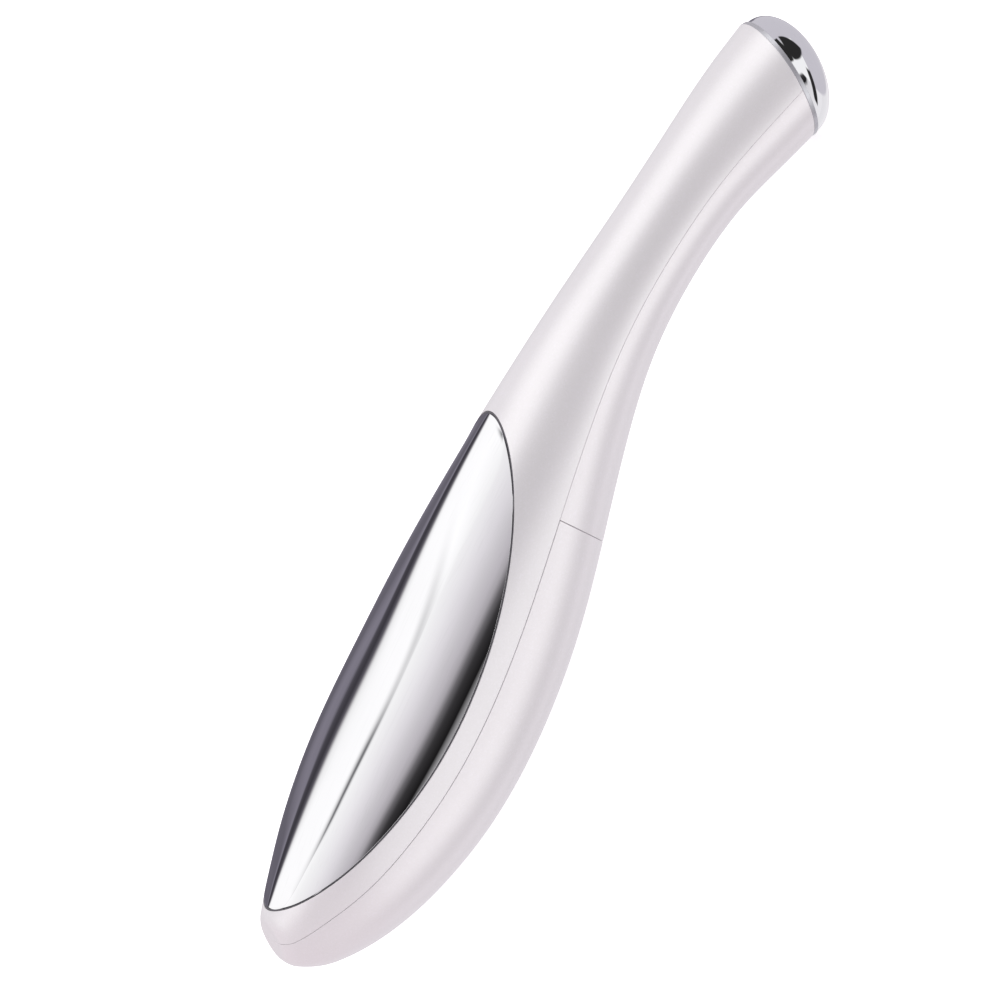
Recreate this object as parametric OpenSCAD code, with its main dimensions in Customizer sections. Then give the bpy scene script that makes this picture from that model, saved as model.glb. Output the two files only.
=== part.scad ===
// Heated eye massager wand: a slim handheld wand with a leaf-shaped polished
// plate on its head, a curved pearl-white handle and a domed button at the tail.
// Millimetres. The wand lies on its back: +X runs from the head to the tail,
// +Z is the plate side and Y is across. The origin is the middle of the
// bounding box at its base. The wand is symmetric about the plane Y = 0.

/* [Casing] */
// Wall of the moulded shells
wall = 1.3; // [1.2:0.05:1.4]
// Gap between the sliding door and the shells around it
door_gap = 0.15; // [0.1:0.05:0.3]
// Depth of the oval flat under the head that the wand rests on
rest_depth = 0.4; // [0.3:0.05:0.5]

/* [Massage plate] */
// Thickness of the metal plate
plate_t = 0.95; // [0.8:0.05:1.0]
// Depth of the shallow hollows on each side of the central ridge
keel = 0.3; // [0:0.05:0.4]
// Half width of the groove that holds the seal round the plate
groove = 0.2; // [0.15:0.05:0.3]

/* [Tail button] */
// Outer radius of the collar at the tail
ring_r = 8.7; // [8.65:0.05:8.75]
// Height of the collar's thin lip round the dome
ring_h = 0.6; // [0.55:0.05:0.65]
// Radius of the domed button
dome_r = 8.5; // [8.4:0.05:8.5]
// Height of the dome above its straight skirt
dome_h = 5.0; // [4.7:0.1:5.2]
// How far the dome leans up for each mm of its height
dome_lean = 0.18; // [0:0.02:0.2]
// Radius of the button's stem
stem_r = 2.0; // [1.8:0.1:2.0]

/* [Battery] */
// Radius of the cell (AAA size)
cell_r = 5.25; // [5:0.05:5.25]
// Length of the cell with its contact stud (AAA size)
cell_l = 44.5; // [43.5:0.1:44.5]

/* [Motor] */
// Radius of the motor can
motor_r = 3.5; // [3:0.1:3.5]
// Length of the motor can
motor_l = 12; // [10:0.5:12]
// Radius of the eccentric weight
weight_r = 3.0; // [2.6:0.1:3.2]

/* [Electronics] */
// Width of the main circuit board
pcb_w = 12.8; // [12.4:0.1:13]
// Thickness of the circuit boards
pcb_t = 1.0; // [0.8:0.1:1.0]
// Radius of the wires with their sleeve
wire_r = 0.5; // [0.4:0.05:0.55]

/* [Hidden] */
$fn = 64;

x_mid = 68.25;  // middle of the length, measured from the section table's zero
z_up = 0.86;    // the lowest point of the dome lies this far below the belly

// The body's sections, from the nose to the tail. Each row has the distance s
// along the body, the section centre's x and z, its tilt in degrees, its half
// width, its half heights above and below the parting line, and the roundness
// of its upper and lower halves (2 is an ellipse, more is squarer).
ST = [
  [0.0,     0.4, 20.3, 40, 1.2, 1.1, 1.1, 2.0, 2.0],
  [0.8,     0.5, 20.3, 40, 3.2, 2.8, 3.0, 2.0, 2.0],
  [2.0,     1.4, 19.6, 38, 5.0, 4.1, 4.7, 2.1, 2.1],
  [6.0,     5.0, 18.1, 30, 7.4, 6.2, 7.7, 2.4, 2.2],
  [12.0,   11.2, 15.8, 18, 10.0, 8.7, 9.9, 2.9, 2.3],
  [20.0,   20.0, 13.7,  8, 12.0, 11.0, 11.4, 3.3, 2.4],
  [30.0,   30.0, 12.4,  2, 13.2, 12.4, 12.0, 3.4, 2.5],
  [42.0,   42.0, 12.0,  0, 13.2, 12.7, 12.0, 3.3, 2.5],
  [55.0,   55.0, 12.6,  0, 12.2, 12.3, 11.6, 2.8, 2.4],
  [68.0,   68.0, 13.6,  1, 10.6, 11.0, 10.4, 2.3, 2.2],
  [80.0,   80.0, 14.3,  4, 8.9, 9.3, 9.0, 2.0, 2.0],
  [92.0,   92.0, 14.3,  9, 7.5, 7.6, 7.5, 2.0, 2.0],
  [104.0, 104.0, 13.1, 14, 6.8, 6.8, 6.8, 2.0, 2.0],
  [116.0, 116.0, 11.0, 21, 7.1, 7.1, 7.1, 2.0, 2.0],
  [126.0, 125.6,  8.5, 30, 8.2, 8.2, 8.2, 2.0, 2.0],
  [131.5, 130.6,  7.0, 35, 8.7, 8.7, 8.7, 2.0, 2.0]];
NS = len(ST);
s_end = ST[NS - 1][0];
tail_x = ST[NS - 1][1];
tail_z = ST[NS - 1][2];
tail_tilt = ST[NS - 1][3];

// Smooth values between the rows of the table
function vals(i) = [for (k = [1:8]) ST[i][k]];
function slope(i) = i == 0 ? (vals(1) - vals(0)) / (ST[1][0] - ST[0][0])
  : i == NS - 1 ? (vals(i) - vals(i - 1)) / (ST[i][0] - ST[i - 1][0])
  : (vals(i + 1) - vals(i - 1)) / (ST[i + 1][0] - ST[i - 1][0]);
function row_of(s, i = 0) = (i >= NS - 2 || s <= ST[i + 1][0]) ? i : row_of(s, i + 1);
function blend(i, h, t) = (2*t*t*t - 3*t*t + 1) * vals(i) + (t*t*t - 2*t*t + t) * h * slope(i)
  + (3*t*t - 2*t*t*t) * vals(i + 1) + (t*t*t - t*t) * h * slope(i + 1);
function section(s) = let (i = row_of(s), h = ST[i + 1][0] - ST[i][0]) blend(i, h, (s - ST[i][0]) / h);

// How far a wall's inside lies behind its outside (near the nose) and how far
// it lies nearer the centre (everywhere else)
function turn(s) = s >= 5 ? 90 : 90 * pow(max(s, 0) / 5, 0.6);

// A point of a section: v is the section, p the angle round it from the parting
// line at +Y (90 is the top, 270 the bottom), d the depth below the outside,
// k the depth of the hollows beside the ridge, g the gap under the parting line
function hollow(y, a, k) = let (q = min(1, abs(y) / (0.68 * a))) 4 * k * q * (1 - q);
function point(v, s, p, d = 0, k = 0, g = 0) =
  let (up = sin(p) >= 0, n = up ? v[6] : v[7],
       f = turn(s), a = v[3] - d * sin(f), b = (up ? v[4] : v[5]) - d * sin(f) - g,
       r = pow(pow(abs(cos(p)), n) + pow(abs(sin(p)), n), -1 / n),
       y = a * r * cos(p),
       w = b * r * sin(p) - g - hollow(y, v[3], k),
       e = d * cos(f))
  [v[0] + w * sin(v[2]) + e * cos(v[2]), y, v[1] + w * cos(v[2]) - e * sin(v[2])];

// The plate's rim is where the body meets a round cut across it
rim_r = 80;
rim_x = 38.2;
rim_z = 15.1;
function rim_height(x) = rim_z + rim_r - sqrt(rim_r * rim_r - pow(x - rim_x, 2));
function over_rim(v, s, p, o) = let (q = point(v, s, p)) q[2] - rim_height(q[0]) - o;
function rim_angle(v, s, o, lo = 0, hi = 90, n = 24) = n == 0 ? (lo + hi) / 2
  : let (m = (lo + hi) / 2) over_rim(v, s, m, o) > 0 ? rim_angle(v, s, o, lo, m, n - 1) : rim_angle(v, s, o, m, hi, n - 1);
function tip(o, inside, outside, n = 24) = n == 0 ? inside
  : let (m = (inside + outside) / 2) over_rim(section(m), m, 90, o) > 0 ? tip(o, m, outside, n - 1) : tip(o, inside, m, n - 1);

// Stations between two tips, closer together near both ends
function leaf_stations(o, n, cut) = let (a = tip(o, 30, 0.9) + cut, b = tip(o, 50, 84) - cut)
  [for (i = [0:n]) a + (b - a) * (1 - cos(180 * i / n)) / 2];

// Faces of a wall whose outside and inside are grids of points. Inside the
// zone [i0, i1, j0, j1] the outside is the third, lower grid, and cells of the
// hole are left out. A closed nose joins the first row to itself.
function quad(a, b, c, d) = [[a, b, c], [a, c, d]];
function flat(l) = [for (a = l) for (b = a) b];
module grid_wall(out, inn, low = [], zone = [0, 0, 0, 0], hole = [0, 0, 0, 0], nose = false) {
  n = len(out) - 1;
  m = len(out[0]) - 1;
  c = (n + 1) * (m + 1);
  function o(i, j) = i * (m + 1) + j;
  function u(i, j) = c + o(i, j);
  function l(i, j) = 2 * c + o(i, j);
  function within(z, i, j) = i >= z[0] && i < z[1] && j >= z[2] && j < z[3];
  function t(i, j) = within(zone, i, j) ? l(i, j) : o(i, j);
  skin = flat([for (i = [0:n - 1]) for (j = [0:m - 1]) if (!within(hole, i, j))
    within(zone, i, j) ? quad(l(i, j), l(i + 1, j), l(i + 1, j + 1), l(i, j + 1))
      : quad(o(i, j), o(i + 1, j), o(i + 1, j + 1), o(i, j + 1))]);
  lining = flat([for (i = [0:n - 1]) for (j = [0:m - 1]) if (!within(hole, i, j))
    quad(u(i, j), u(i, j + 1), u(i + 1, j + 1), u(i + 1, j))]);
  sides = flat([for (i = [0:n - 1]) each [quad(o(i, 0), u(i, 0), u(i + 1, 0), o(i + 1, 0)),
    quad(o(i, m), o(i + 1, m), u(i + 1, m), u(i, m))]]);
  far = flat([for (j = [0:m - 1]) quad(o(n, j), u(n, j), u(n, j + 1), o(n, j + 1))]);
  near = nose ? concat([[for (j = [0:m]) o(0, j)], [for (j = [m:-1:0]) u(0, j)]], quad(o(0, 0), o(0, m), u(0, m), u(0, 0)))
    : flat([for (j = [0:m - 1]) quad(o(0, j), o(0, j + 1), u(0, j + 1), u(0, j))]);
  zd = zone[1] > zone[0];
  steps = !zd ? [] : flat(concat(
    [for (i = [zone[0]:zone[1] - 1]) each [quad(o(i, zone[2]), o(i + 1, zone[2]), l(i + 1, zone[2]), l(i, zone[2])),
      quad(o(i, zone[3]), l(i, zone[3]), l(i + 1, zone[3]), o(i + 1, zone[3]))]],
    [for (j = [zone[2]:zone[3] - 1]) each [quad(o(zone[0], j), l(zone[0], j), l(zone[0], j + 1), o(zone[0], j + 1)),
      quad(o(zone[1], j), o(zone[1], j + 1), l(zone[1], j + 1), l(zone[1], j))]]));
  hd = hole[1] > hole[0];
  edges = !hd ? [] : flat(concat(
    [for (i = [hole[0]:hole[1] - 1]) each [quad(l(i, hole[2]), l(i + 1, hole[2]), u(i + 1, hole[2]), u(i, hole[2])),
      quad(l(i, hole[3]), u(i, hole[3]), u(i + 1, hole[3]), l(i + 1, hole[3]))]],
    [for (j = [hole[2]:hole[3] - 1]) each [quad(l(hole[0], j), u(hole[0], j), u(hole[0], j + 1), l(hole[0], j + 1)),
      quad(l(hole[1], j), l(hole[1], j + 1), u(hole[1], j + 1), u(hole[1], j))]]));
  polyhedron(points = concat(flat(out), flat(inn), flat(low)),
    faces = concat(skin, lining, sides, far, near, steps, edges));
}

// A tube with 8 sides swept along a route
function unit(v) = v / norm(v);
function heading(p, i) = unit(p[min(i + 1, len(p) - 1)] - p[max(i - 1, 0)]);
function spline(p, n) = [for (i = [0:len(p) - 2]) for (k = [0:n - 1]) let (t = k / n,
  m0 = (p[i + 1] - p[max(i - 1, 0)]) / 2, m1 = (p[min(i + 2, len(p) - 1)] - p[i]) / 2)
  (2*t*t*t - 3*t*t + 1) * p[i] + (t*t*t - 2*t*t + t) * m0 + (3*t*t - 2*t*t*t) * p[i + 1] + (t*t*t - t*t) * m1,
  p[len(p) - 1]];
module tube(route, r, n = 3, ref = [0, 1, 0.001]) {
  q = spline(route, n);
  e = len(q) - 1;
  pts = [for (i = [0:e]) let (h = heading(q, i), a = unit(cross(ref, h)), b = cross(h, a))
    for (k = [0:7]) q[i] + r * (cos(45 * k) * a + sin(45 * k) * b)];
  polyhedron(points = pts, faces = concat(
    flat([for (i = [0:e - 1]) for (k = [0:7]) let (a = 8 * i + k, b = 8 * i + (k + 1) % 8) quad(a, a + 8, b + 8, b)]),
    [[for (k = [0:7]) k], [for (k = [7:-1:0]) 8 * e + k]]));
}

module place() translate([-x_mid, 0, z_up]) children();
// Local frame of the tail: the origin is the middle of the shells' end, +Z points out of the tail
module at_tail() place() translate([tail_x, 0, tail_z]) rotate([0, 90 + tail_tilt, 0]) children();
// A cylinder along X from x0 to x1
module rod(x0, x1, r, z = 0, y = 0) translate([x0, y, z]) rotate([0, 90, 0]) cylinder(r = r, h = x1 - x0);
// A block given by its two corners
module block(a, b) translate(a) cube(b - a);

// ---- Casing ----------------------------------------------------------------

door_s = 66.2;        // where the door ends and the back shell of the handle begins
zone_n = 26;          // stations along the recess for the plate
side_n = 6;           // steps from the parting line to the plate's rim
half_n = 6;           // steps from the rim to the ridge
tail_n = 15;
recess_t = 1.05;      // depth of the recess
ledge_t = 2.2;        // depth of the ledge's underside

post_x = 63.5;        // the long screw's axis
boss_x = 12.0;        // the short screw's axis

front_s = let (z = leaf_stations(-groove, zone_n, 0.35), e = z[zone_n])
  concat([0, 0.4, 0.9, 1.4], z, [for (i = [1:tail_n]) e + (s_end - e) * i / tail_n]);
i0 = 4;
i1 = 4 + zone_n;
function front_angles(s, i) = let (v = section(s), a = section(front_s[i0]), b = section(front_s[i1]),
  r = i < i0 ? rim_angle(a, front_s[i0], -groove) : i > i1 ? max(45, rim_angle(b, front_s[i1], -groove) - 3 * (s - front_s[i1]))
    : rim_angle(v, s, -groove))
  concat([for (j = [0:side_n - 1]) r * j / side_n], [for (j = [0:half_n]) r + (90 - r) * j / half_n],
    [for (j = [1:half_n]) 90 + (90 - r) * j / half_n], [for (j = [1:side_n]) 180 - r + r * j / side_n]);
j0 = side_n;
j1 = side_n + 2 * half_n;

module front_shell() {
  ang = [for (i = [0:len(front_s) - 1]) front_angles(front_s[i], i)];
  function inzone(i, j) = i >= i0 && i <= i1 && j >= j0 && j <= j1;
  color("#f4f2f4") difference() {
    union() {
      place() grid_wall(
        [for (i = [0:len(front_s) - 1]) let (s = front_s[i], v = section(s)) [for (p = ang[i]) point(v, s, p)]],
        [for (i = [0:len(front_s) - 1]) let (s = front_s[i], v = section(s))
          [for (j = [0:len(ang[i]) - 1]) point(v, s, ang[i][j], inzone(i, j) ? ledge_t : wall, inzone(i, j) ? keel : 0)]],
        [for (i = [0:len(front_s) - 1]) let (s = front_s[i], v = section(s)) [for (p = ang[i]) point(v, s, p, recess_t, keel)]],
        [i0, i1, j0, j1], [i0 + 7, i1 - 6, j0 + 3, j1 - 3], true);
      place() translate([post_x, 0, 18]) cylinder(r = 2.3, h = 4.9);
      place() translate([boss_x, 0, 18]) cylinder(r = 2.0, h = 4.3);
    }
    place() translate([post_x, 0, 17]) cylinder(r = 1.0, h = 4.6);
    place() translate([boss_x, 0, 17]) cylinder(r = 0.9, h = 4.4);
  }
}

back_s = concat([door_s], [for (s = front_s) if (s > door_s + 0.6) s]);
module back_shell() color("#f4f2f4") {
  difference() {
    union() {
      place() grid_wall(
        [for (s = back_s) let (v = section(s)) [for (j = [0:18]) point(v, s, 180 + 10 * j)]],
        [for (s = back_s) let (v = section(s)) [for (j = [0:18]) point(v, s, 180 + 10 * j, wall)]]);
      // the lug that reaches under the door, with the column for the long screw
      place() block([66.8, -2.6, 4.0], [69.2, 2.6, 7.6]);
      place() block([post_x, -2.6, 5.6], [69.2, 2.6, 7.6]);
      place() translate([post_x, 0, 5.6]) cylinder(r = 2.8, h = 11.4);
    }
    place() translate([post_x, 0, 5]) cylinder(r = 1.2, h = 13);
    place() translate([post_x, 0, 5]) cylinder(r = 2.0, h = 2.2);
  }
}

door_n = 21;          // steps round the door, odd so that the flat lies in the middle
// The flat lies in one plane with the lowest point of the tail's dome
function rest(q) = [q[0], q[1], max(q[2], rest_depth - 1.26 + (129.3 - q[0]) * 0.0138)];
door_stations = concat([0, 0.4, 0.9, 1.4, 2.2, 3.2, 4.4], [for (i = [0:20]) 6 + (door_s - door_gap - 6) * i / 20]);
module battery_door() color("#f4f2f4") {
  union() {
    place() grid_wall(
      [for (s = door_stations) let (v = section(s)) [for (j = [0:door_n]) rest(point(v, s, 180 + 180 * j / door_n, 0, 0, door_gap))]],
      [for (s = door_stations) let (v = section(s)) [for (j = [0:door_n]) point(v, s, 180 + 180 * j / door_n, wall, 0, door_gap)]],
      nose = true);
    // tongues that hold the door's end inside the back shell
    for (y = [-1, 1]) {
      place() translate([0, y * 4.8, 0]) block([62, -0.9, 4.5], [65.4, 0.9, 7.6]);
      place() translate([0, y * 4.8, 0]) block([62, -0.9, 6.7], [68.6, 0.9, 7.6]);
    }
  }
}

// ---- Massage plate -----------------------------------------------------------

plate_s = leaf_stations(groove, 30, 0.3);
function leaf_angles(v, s, o, n) = let (r = rim_angle(v, s, o))
  concat([for (j = [0:n]) r + (90 - r) * j / n], [for (j = [1:n]) 90 + (90 - r) * j / n]);
module massage_plate() color("#d9dade") place() grid_wall(
  [for (s = plate_s) let (v = section(s)) [for (p = leaf_angles(v, s, groove, 7)) point(v, s, p, 0, keel)]],
  [for (s = plate_s) let (v = section(s)) [for (p = leaf_angles(v, s, groove, 7)) point(v, s, p, plate_t, keel)]]);

// The seal lies in the groove round the plate, a little below the surface
seal_n = 28;
seal_out = leaf_stations(0.04 - groove, seal_n, 0.42);
seal_in = leaf_stations(groove - 0.04, seal_n, 0.2);
module plate_seal() {
  function rim_point(s, o, side, d) = let (v = section(s), a = rim_angle(v, s, o)) point(v, s, side > 0 ? a : 180 - a, d, keel);
  function ring_at(i, side) = [rim_point(seal_out[i], 0.04 - groove, side, 0.08), rim_point(seal_in[i], groove - 0.04, side, 0.08),
    rim_point(seal_in[i], groove - 0.04, side, 0.8), rim_point(seal_out[i], 0.04 - groove, side, 0.8)];
  rings = concat([for (i = [0:seal_n]) ring_at(i, 1)], [for (i = [seal_n:-1:0]) ring_at(i, -1)]);
  c = len(rings);
  color("#4a484e") place() polyhedron(points = flat(rings),
    faces = flat([for (i = [0:c - 1]) for (k = [0:3]) let (a = 4 * i, b = 4 * ((i + 1) % c), l = (k + 1) % 4)
      quad(a + k, b + k, b + l, a + l)]));
}

// ---- Tail button ---------------------------------------------------------------

skirt_z = ring_h - 0.05;   // the dome's skirt starts just below the lip
dome_z = 1.0;              // the dome's straight skirt ends here
module tail_ring() color("#d9dade") at_tail() rotate_extrude()
  polygon([[5.0, 0], [6.1, 0], [6.1, -1.4], [6.8, -1.4], [6.8, 0], [ring_r, 0], [ring_r, ring_h],
    [dome_r + 0.08, ring_h], [dome_r + 0.08, 0.2], [5.0, 0.2]]);
// A round row of the leaning dome, at the angle a up its side
function dome_row(r, h, a, drop = 0) = [for (t = [0:7.5:352.5])
  [r * cos(a) * cos(t) - dome_lean * h * sin(a), r * cos(a) * sin(t), dome_z - drop + h * sin(a)]];
function dome_rows(r, h) = concat([dome_row(r, h, 0, dome_z - skirt_z)], [for (a = [0:9:81]) dome_row(r, h, a)]);
module power_button() color("#d9dade") at_tail() {
  translate([0, 0, -1]) cylinder(r = stem_r, h = dome_z + dome_h + 0.2);
  polyhedron(points = concat(flat(dome_rows(dome_r, dome_h)), flat(dome_rows(dome_r - 1, dome_h - 1)),
      [for (h = [dome_h, dome_h - 1]) [-dome_lean * h, 0, dome_z + h]]),
    faces = flat([for (k = [0:47]) let (m = (k + 1) % 48) concat(
      flat([for (i = [0:9]) concat(quad(48 * i + k, 48 * i + 48 + k, 48 * i + 48 + m, 48 * i + m),
        quad(528 + 48 * i + k, 528 + 48 * i + m, 576 + 48 * i + m, 576 + 48 * i + k))]),
      [[480 + k, 1056, 480 + m], [1008 + k, 1008 + m, 1057]],
      quad(k, m, 528 + m, 528 + k))]));
}
module switch_plunger() color("#3a3a3e") at_tail() translate([0, 0, -2.3]) cylinder(r = 1.7, h = 1.3);
module switch_carrier() color("#e6e6e8") at_tail() rotate_extrude()
  polygon([[stem_r + 0.06, 0], [6.05, 0], [6.05, -0.8], [5.1, -0.8], [5.1, -4.8], [4.6, -4.8], [4.6, -0.6], [stem_r + 0.06, -0.6]]);
module switch_body() color("#2c2c30") at_tail() difference() {
  block([-3, -3, -4.8], [3, 3, -1.95]);
  translate([0, 0, -3.2]) cylinder(r = 1.78, h = 2);
}
module switch_board() color("#2f7d4f") at_tail() translate([0, 0, -4.8 - pcb_t]) cylinder(r = 5.0, h = pcb_t);

// ---- Battery bay -----------------------------------------------------------------

cell_x = 14.0;   // the flat end of the cell
cell_z = 11.2;
module battery_tray() color("#d8d6d2") place() difference() {
  union() {
    block([14, -6.9, 17], [56.9, 6.9, 18]);
    block([9.2, -2.8, 17], [14.5, 2.8, 18]);
    block([9.2, -4.5, 9.0], [10.2, 4.5, 17]);
    block([9.2, -2.8, 16.5], [10.2, 2.8, 18]);
    for (y = [-1, 1]) translate([0, y * 6.4, 0]) block([14, -0.5, 9.8], [59.8, 0.5, 18]);
    block([58.8, -6.9, 8.4], [59.8, 6.9, 18]);
    block([59.5, -2.6, 17], [post_x + 2.4, 2.6, 18]);
    for (x = [21, 53]) for (y = [-5, 5]) translate([x, y, 17.5]) {
      cylinder(r = 1.2, h = 1.1);
      cylinder(r = 0.6, h = 2.5);
    }
  }
  translate([post_x, 0, 16]) cylinder(r = 1.2, h = 3);
  translate([boss_x, 0, 16]) cylinder(r = 1.0, h = 3);
}
module battery_cell() color("#8f9aa8") place() {
  rod(cell_x, cell_x + cell_l - 0.8, cell_r, cell_z);
  rod(cell_x + cell_l - 0.9, cell_x + cell_l, 1.9, cell_z);
}
// A conical coil of wire that gets narrower from its plate to the cell
spring_turns = 3.5;
module negative_spring() color("#c9c6bd") place() {
  block([10.2, -4, 9.2], [10.5, 4, 15.6]);
  tube([for (i = [0:56]) let (t = i / 56, a = 360 * spring_turns * t, r = 3.4 - 1.4 * t)
    [10.75 + (cell_x - 0.35 - 10.75) * min(1, t * 1.1), r * cos(a), cell_z + r * sin(a)]], 0.33, 1, [1, 0, 0]);
}
module positive_contact() color("#c9c6bd") place() {
  block([58.5, -4, 8.6], [58.8, 4, 16.6]);
  block([58.5, -1.2, 16.5], [58.8, 1.2, 18.5]);
}

// ---- Electronics -------------------------------------------------------------------

board_z = 18.6;
top_z = board_z + pcb_t;
module main_board() color("#2f7d4f") place() difference() {
  block([17, -pcb_w / 2, board_z], [56.5, pcb_w / 2, top_z]);
  for (x = [21, 53]) for (y = [-5, 5]) translate([x, y, 18]) cylinder(r = 0.65, h = 3);
}
module control_chip() color("#26262a") place() {
  block([36, -2, top_z + 0.15], [42, 2, top_z + 1.5]);
  for (i = [0:3]) for (y = [-1, 1]) translate([37.1 + 1.27 * i, y * 2.4, 0]) block([-0.2, -0.5, top_z], [0.2, 0.5, top_z + 0.45]);
}
module boost_coil() color("#5a4a40") place() translate([29.5, 0, top_z]) rotate_extrude()
  polygon([[0, 0], [2.8, 0], [2.8, 0.5], [2.2, 0.5], [2.2, 1.6], [2.8, 1.6], [2.8, 2.1], [0, 2.1]]);
module capacitors() color("#b89a6a") place() for (p = [[33.8, -3.2], [33.8, 3.2], [45.5, -3.0]])
  block([p[0] - 0.8, p[1] - 1.0, top_z], [p[0] + 0.8, p[1] + 1.0, top_z + 1.2]);
module heater_driver() color("#26262a") place() {
  block([47.2, 0.4, top_z + 0.1], [50.0, 3.4, top_z + 1.3]);
  for (x = [47.7, 49.5]) block([x - 0.25, -0.3, top_z], [x + 0.25, 0.6, top_z + 0.4]);
  block([48.35, 3.2, top_z], [48.85, 4.1, top_z + 0.4]);
}
film_z = 22.35;
module heater_film() color("#b5762e") place() intersection() {
  block([17, -3.5, film_z], [54, 3.5, film_z + 0.25]);
  union() {
    rod(0, 1, 0.1, -50);
    block([18, -9, 20], [53, 9, 30]);
    block([10, -2.5, 20], [60, 2.5, 30]);
    for (x = [18, 53]) for (y = [-2.5, 2.5]) translate([x, y, 20]) cylinder(r = 1, h = 9);
  }
}
// The pad fills the space between the film and the curved underside of the plate
pad_s = [for (i = [0:12]) 18.5 + 34 * i / 12];
module thermal_pad() {
  function under(s) = let (v = section(s)) [for (p = [74, 79, 84, 90, 96, 101, 106]) point(v, s, p, plate_t + 0.03, keel)];
  top = [for (s = pad_s) under(s)];
  color("#9aa3ad") place() grid_wall(top, [for (r = top) [for (q = r) [q[0], q[1], film_z + 0.25]]]);
}
module thermistor() color("#1f1f22") place() {
  rod(43.2, 46.2, 0.7, film_z - 0.75);
  for (y = [-0.35, 0.35]) rod(46.1, 50.5, 0.15, film_z - 0.75, y);
}

// ---- Vibration motor ------------------------------------------------------------------

motor_x = 77;
motor_z = 14.3;
nose_x = motor_x + motor_l;
module motor_can() color("#b9bcc2") place() difference() {
  union() {
    rod(motor_x, nose_x, motor_r, motor_z);
    rod(nose_x - 0.1, nose_x + 0.8, 1.2, motor_z);
  }
  rod(nose_x - 5, nose_x + 2, 0.55, motor_z);
}
module motor_end_cap() color("#f0f0ee") place() {
  rod(motor_x - 1.4, motor_x, motor_r - 0.1, motor_z);
  for (y = [-1.6, 1.6]) translate([0, y, motor_z]) block([motor_x - 2.2, -0.4, -0.15], [motor_x - 1.3, 0.4, 0.15]);
}
module motor_shaft() color("#c8cacf") place() rod(nose_x - 4.8, nose_x + 6, 0.5, motor_z);
module eccentric_weight() color("#8c8f95") place() translate([nose_x + 1.5, 0, motor_z]) rotate([0, 90, 0]) difference() {
  union() {
    intersection() {
      cylinder(r = weight_r, h = 4);
      block([0, -5, -1], [5, 5, 6]);
    }
    cylinder(r = 1.2, h = 4);
  }
  translate([0, 0, -1]) cylinder(r = 0.5, h = 6);
}
module motor_cradle() color("#55585e") place() difference() {
  union() {
    rod(motor_x + 1.5, motor_x + 10.5, motor_r + 0.9, motor_z);
    block([motor_x + 2, -6.3, motor_z - 0.8], [motor_x + 10, 6.3, motor_z + 0.8]);
  }
  rod(motor_x, nose_x, motor_r, motor_z);
}

// ---- Screws ----------------------------------------------------------------------------

module screw(z, head_r, head_h, r, l) translate([0, 0, z]) difference() {
  union() {
    translate([0, 0, -head_h]) cylinder(r = head_r, h = head_h);
    cylinder(r = r, h = l);
  }
  for (a = [0, 90]) rotate(a) block([-head_r * 0.6, -0.2, -head_h - 1], [head_r * 0.6, 0.2, -head_h + 0.5]);
}
module case_screw() color("#9fa3a8") place() translate([post_x, 0, 0]) screw(7.2, 1.9, 1.3, 1.0, 14);
module tray_screw() color("#9fa3a8") place() translate([boss_x, 0, 0]) screw(17, 1.7, 1.1, 0.9, 4);

// ---- Wires -------------------------------------------------------------------------------

module heater_wires() color("#c03a32") place() for (y = [-2.2, 2.2])
  tube([[24.5, y, 21.8], [22, y, 21.5], [20, y, 20.5], [18, y, 20.2]], wire_r, 2);
module battery_wires() color("#c03a32") place() {
  tube([[11.2, 3.6, 15.2], [11.3, 3.6, 17.4], [13.5, 3.9, 19.4], [18.2, 4.2, 20.2]], wire_r, 3);
  tube([[58.65, 0, 19.1], [57.6, 0, 20.1], [54.6, 0, 20.2]], wire_r, 3);
}
module motor_wires() color("#2c4f8f") place() {
  tube([[74.4, -1.6, 14.3], [72.5, -2.0, 15.4], [68.5, -3.0, 18.2], [63, -3.4, 19.9], [59, -3.4, 20.2], [55.6, -3.2, 20.2]], wire_r, 3);
  tube([[74.4, 1.6, 14.3], [72.2, -0.6, 13.2], [69.6, -4.0, 15.2], [66, -4.8, 18.2], [61.5, -4.9, 20.0], [55.6, -4.9, 20.2]], wire_r, 3);
}
module switch_wires() color("#2a2a2c") place() {
  tube([[125.4, 1.3, 10.6], [122, 1.5, 12.0], [114, 1.8, 13.8], [106, 2.2, 15.4], [98, 2.6, 17.2], [90, 2.8, 18.4],
    [80, 3.0, 18.9], [70, 3.2, 19.6], [63, 3.4, 19.9], [55.6, 3.4, 20.2]], wire_r, 3);
  tube([[124.9, 2.9, 9.9], [122, 3.0, 10.8], [114, 3.2, 12.4], [106, 3.4, 14.2], [98, 3.8, 15.8], [90, 4.2, 17.2],
    [80, 4.5, 17.9], [70, 4.6, 18.8], [63, 4.8, 19.9], [55.6, 4.9, 20.2]], wire_r, 3);
}

front_shell();
back_shell();
battery_door();
massage_plate();
plate_seal();
tail_ring();
power_button();
switch_plunger();
switch_carrier();
switch_body();
switch_board();
battery_tray();
battery_cell();
negative_spring();
positive_contact();
main_board();
control_chip();
boost_coil();
capacitors();
heater_driver();
heater_film();
thermal_pad();
thermistor();
motor_can();
motor_end_cap();
motor_shaft();
eccentric_weight();
motor_cradle();
case_screw();
tray_screw();
heater_wires();
battery_wires();
motor_wires();
switch_wires();
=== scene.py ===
import math
import bpy
import numpy as np
from mathutils import Matrix, Vector

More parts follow.
